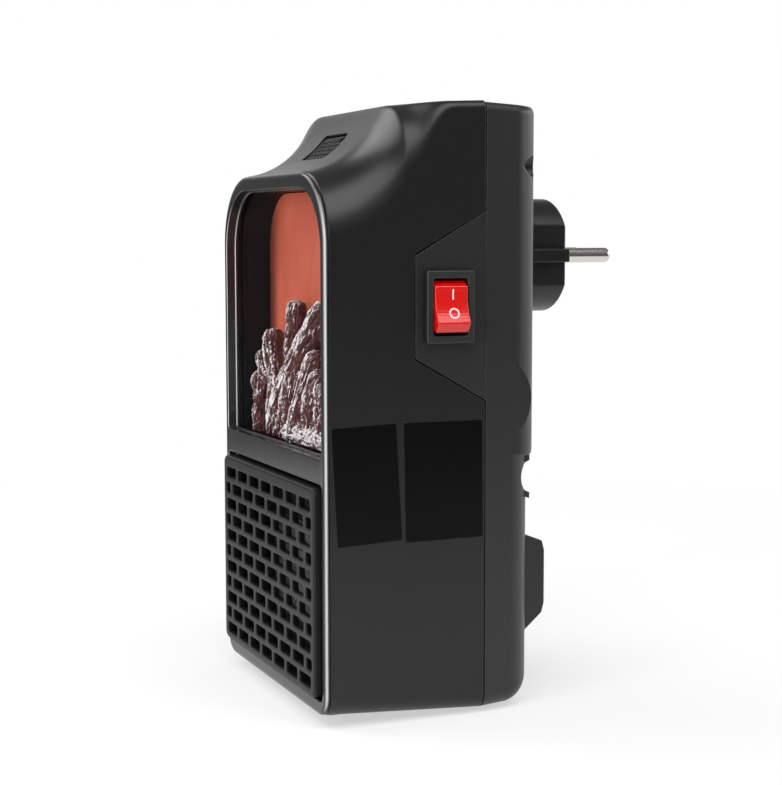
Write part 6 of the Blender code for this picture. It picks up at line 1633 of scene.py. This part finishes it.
@dataclass
class Studio:
    """Pale floor, white surround, soft lamps and the camera."""
    floor_radius: float = 0.5
    camera_mm: Point = (477.82, -194.36, 142.79)
    right: Point = (0.39759, 0.91756, -0.00125)
    up: Point = (-0.0879, 0.03944, 0.99535)
    forward: Point = (-0.91334, 0.39564, -0.09634)
    lens: float = 75.87
    sensor: float = 36.0
    clip: float = 0.01
    floor_drop: float = 0.0002
    flag: Point = (0.92, 0.39, -0.02)
    flag_fade: Point = (0.76, 0.95, 0.12)
    ceiling_fade: Point = (0.30, 0.52, 0.2)
    front_fade: Point = (0.08, -0.28, 0.11)
    fill: float = 0.36
    aim: Point = (0.0, 0.0, 0.09)

    def camera(self) -> None:
        """Stand the camera where the photograph was taken from."""
        data = bpy.data.cameras.new("camera")
        data.lens = self.lens
        data.sensor_width = self.sensor
        data.clip_start = self.clip
        item = bpy.data.objects.new("camera", data)
        axes = [Vector(self.right), Vector(self.up), -Vector(self.forward)]
        turn = Matrix([axis.normalized() for axis in axes]).transposed().to_4x4()
        item.matrix_world = Matrix.Translation(Vector(self.camera_mm) * MM) @ turn
        bpy.context.scene.collection.objects.link(item)
        bpy.context.scene.camera = item

    def floor(self) -> None:
        """Lay the floor as a thin disc under the pads."""
        bm = bmesh.new()
        bmesh.ops.create_circle(bm, cap_ends=True, segments=96, radius=self.floor_radius)
        mesh = bpy.data.meshes.new("studio_floor")
        bm.to_mesh(mesh)
        bm.free()
        item = bpy.data.objects.new("studio_floor", mesh)
        item.location.z = -self.floor_drop
        mesh.materials.append(StudioFloor("painted_floor", "e9e9e8", 0.9, reach=self.floor_radius).material())
        bpy.context.scene.collection.objects.link(item)

    def surround(self) -> None:
        """White for the camera, metal and glass, dim towards the right rear, and a soft fill."""
        world = bpy.data.worlds.new("studio")
        bpy.context.scene.world = world
        world.use_nodes = True
        tree = world.node_tree
        tree.nodes.clear()
        coords = add_node(tree, "TexCoord")
        flag = add_node(tree, "VectorMath", {"operation": "DOT_PRODUCT", 1: self.flag},
                        {0: coords.outputs["Generated"]})
        split = add_node(tree, "SeparateXYZ", None, {0: coords.outputs["Generated"]})
        shade = None
        for place, (start, end, low) in ((flag.outputs["Value"], self.flag_fade),
                                         (split.outputs["Z"], self.ceiling_fade),
                                         (split.outputs["Y"], self.front_fade)):
            fade = add_node(tree, "MapRange",
                            {"interpolation_type": "SMOOTHSTEP", "From Min": start, "From Max": end,
                             "To Min": 1.0, "To Max": low}, {"Value": place})
            shade = add_node(tree, "Math", {"operation": "MULTIPLY"}, {0: shade, 1: fade}) if shade else fade
        rays = add_node(tree, "LightPath")
        fill = add_node(tree, "Mix", {"data_type": "FLOAT", 2: self.fill},
                        {0: rays.outputs["Is Glossy Ray"], 3: shade})
        level = add_node(tree, "Mix", {"data_type": "FLOAT", 3: 1.0},
                         {0: rays.outputs["Is Camera Ray"], 2: fill})
        clear = add_node(tree, "Math", {"operation": "MAXIMUM"},
                         {0: level, 1: rays.outputs["Is Transmission Ray"]})
        back = add_node(tree, "Background", {"Color": (1, 1, 1, 1)}, {"Strength": clear})
        output = add_node(tree, "OutputWorld", None, {"Surface": back})
        output.is_active_output = True

    def lamp(self, name: str, place: Point, size: tuple[float, float], power: float) -> None:
        """Hang one soft box that faces the heater.

        Args:
            name: its name.
            place: where it hangs, in metres.
            size: its width and height in metres.
            power: its power in watts.
        """
        data = bpy.data.lights.new(name, "AREA")
        data.shape = "RECTANGLE"
        data.size, data.size_y = size
        data.energy = power
        item = bpy.data.objects.new(name, data)
        item.location = place
        item.rotation_euler = (Vector(self.aim) - Vector(place)).to_track_quat("-Z", "Y").to_euler()
        bpy.context.scene.collection.objects.link(item)

    def build(self) -> None:
        """Set up the whole studio."""
        bpy.context.scene.view_settings.view_transform = "Standard"
        self.camera()
        self.floor()
        self.surround()
        self.lamp("front_box", (-0.35, -0.90, 0.35), (0.6, 0.7), 2.6)
        self.lamp("rim_strip", (0.40, -0.91, 0.21), (0.20, 0.60), 5.0)
        self.lamp("top_box", (0.47, -0.04, 1.00), (1.20, 0.75), 9.6)
        self.lamp("left_box", (-0.70, -0.62, 0.96), (1.00, 0.66), 8.2)
        self.lamp("rear_box", (0.25, 0.97, 0.46), (1.10, 0.40), 2.7)


def main() -> None:
    """Build every sub-assembly in order and finish the scene."""
    logging.basicConfig(level=logging.INFO, format="%(name)s: %(message)s")
    vent = TopVent()
    FrontShell().build(vent)
    vent.build()
    RearShell().build()
    Bezel().build()
    OutletGrille().build()
    Firebox().build()
    MainsPlug().build()
    RockerSwitch().build()
    BareLabels().build()
    Insides().dress()
    Studio().build()


if __name__ == "__main__":
    main()
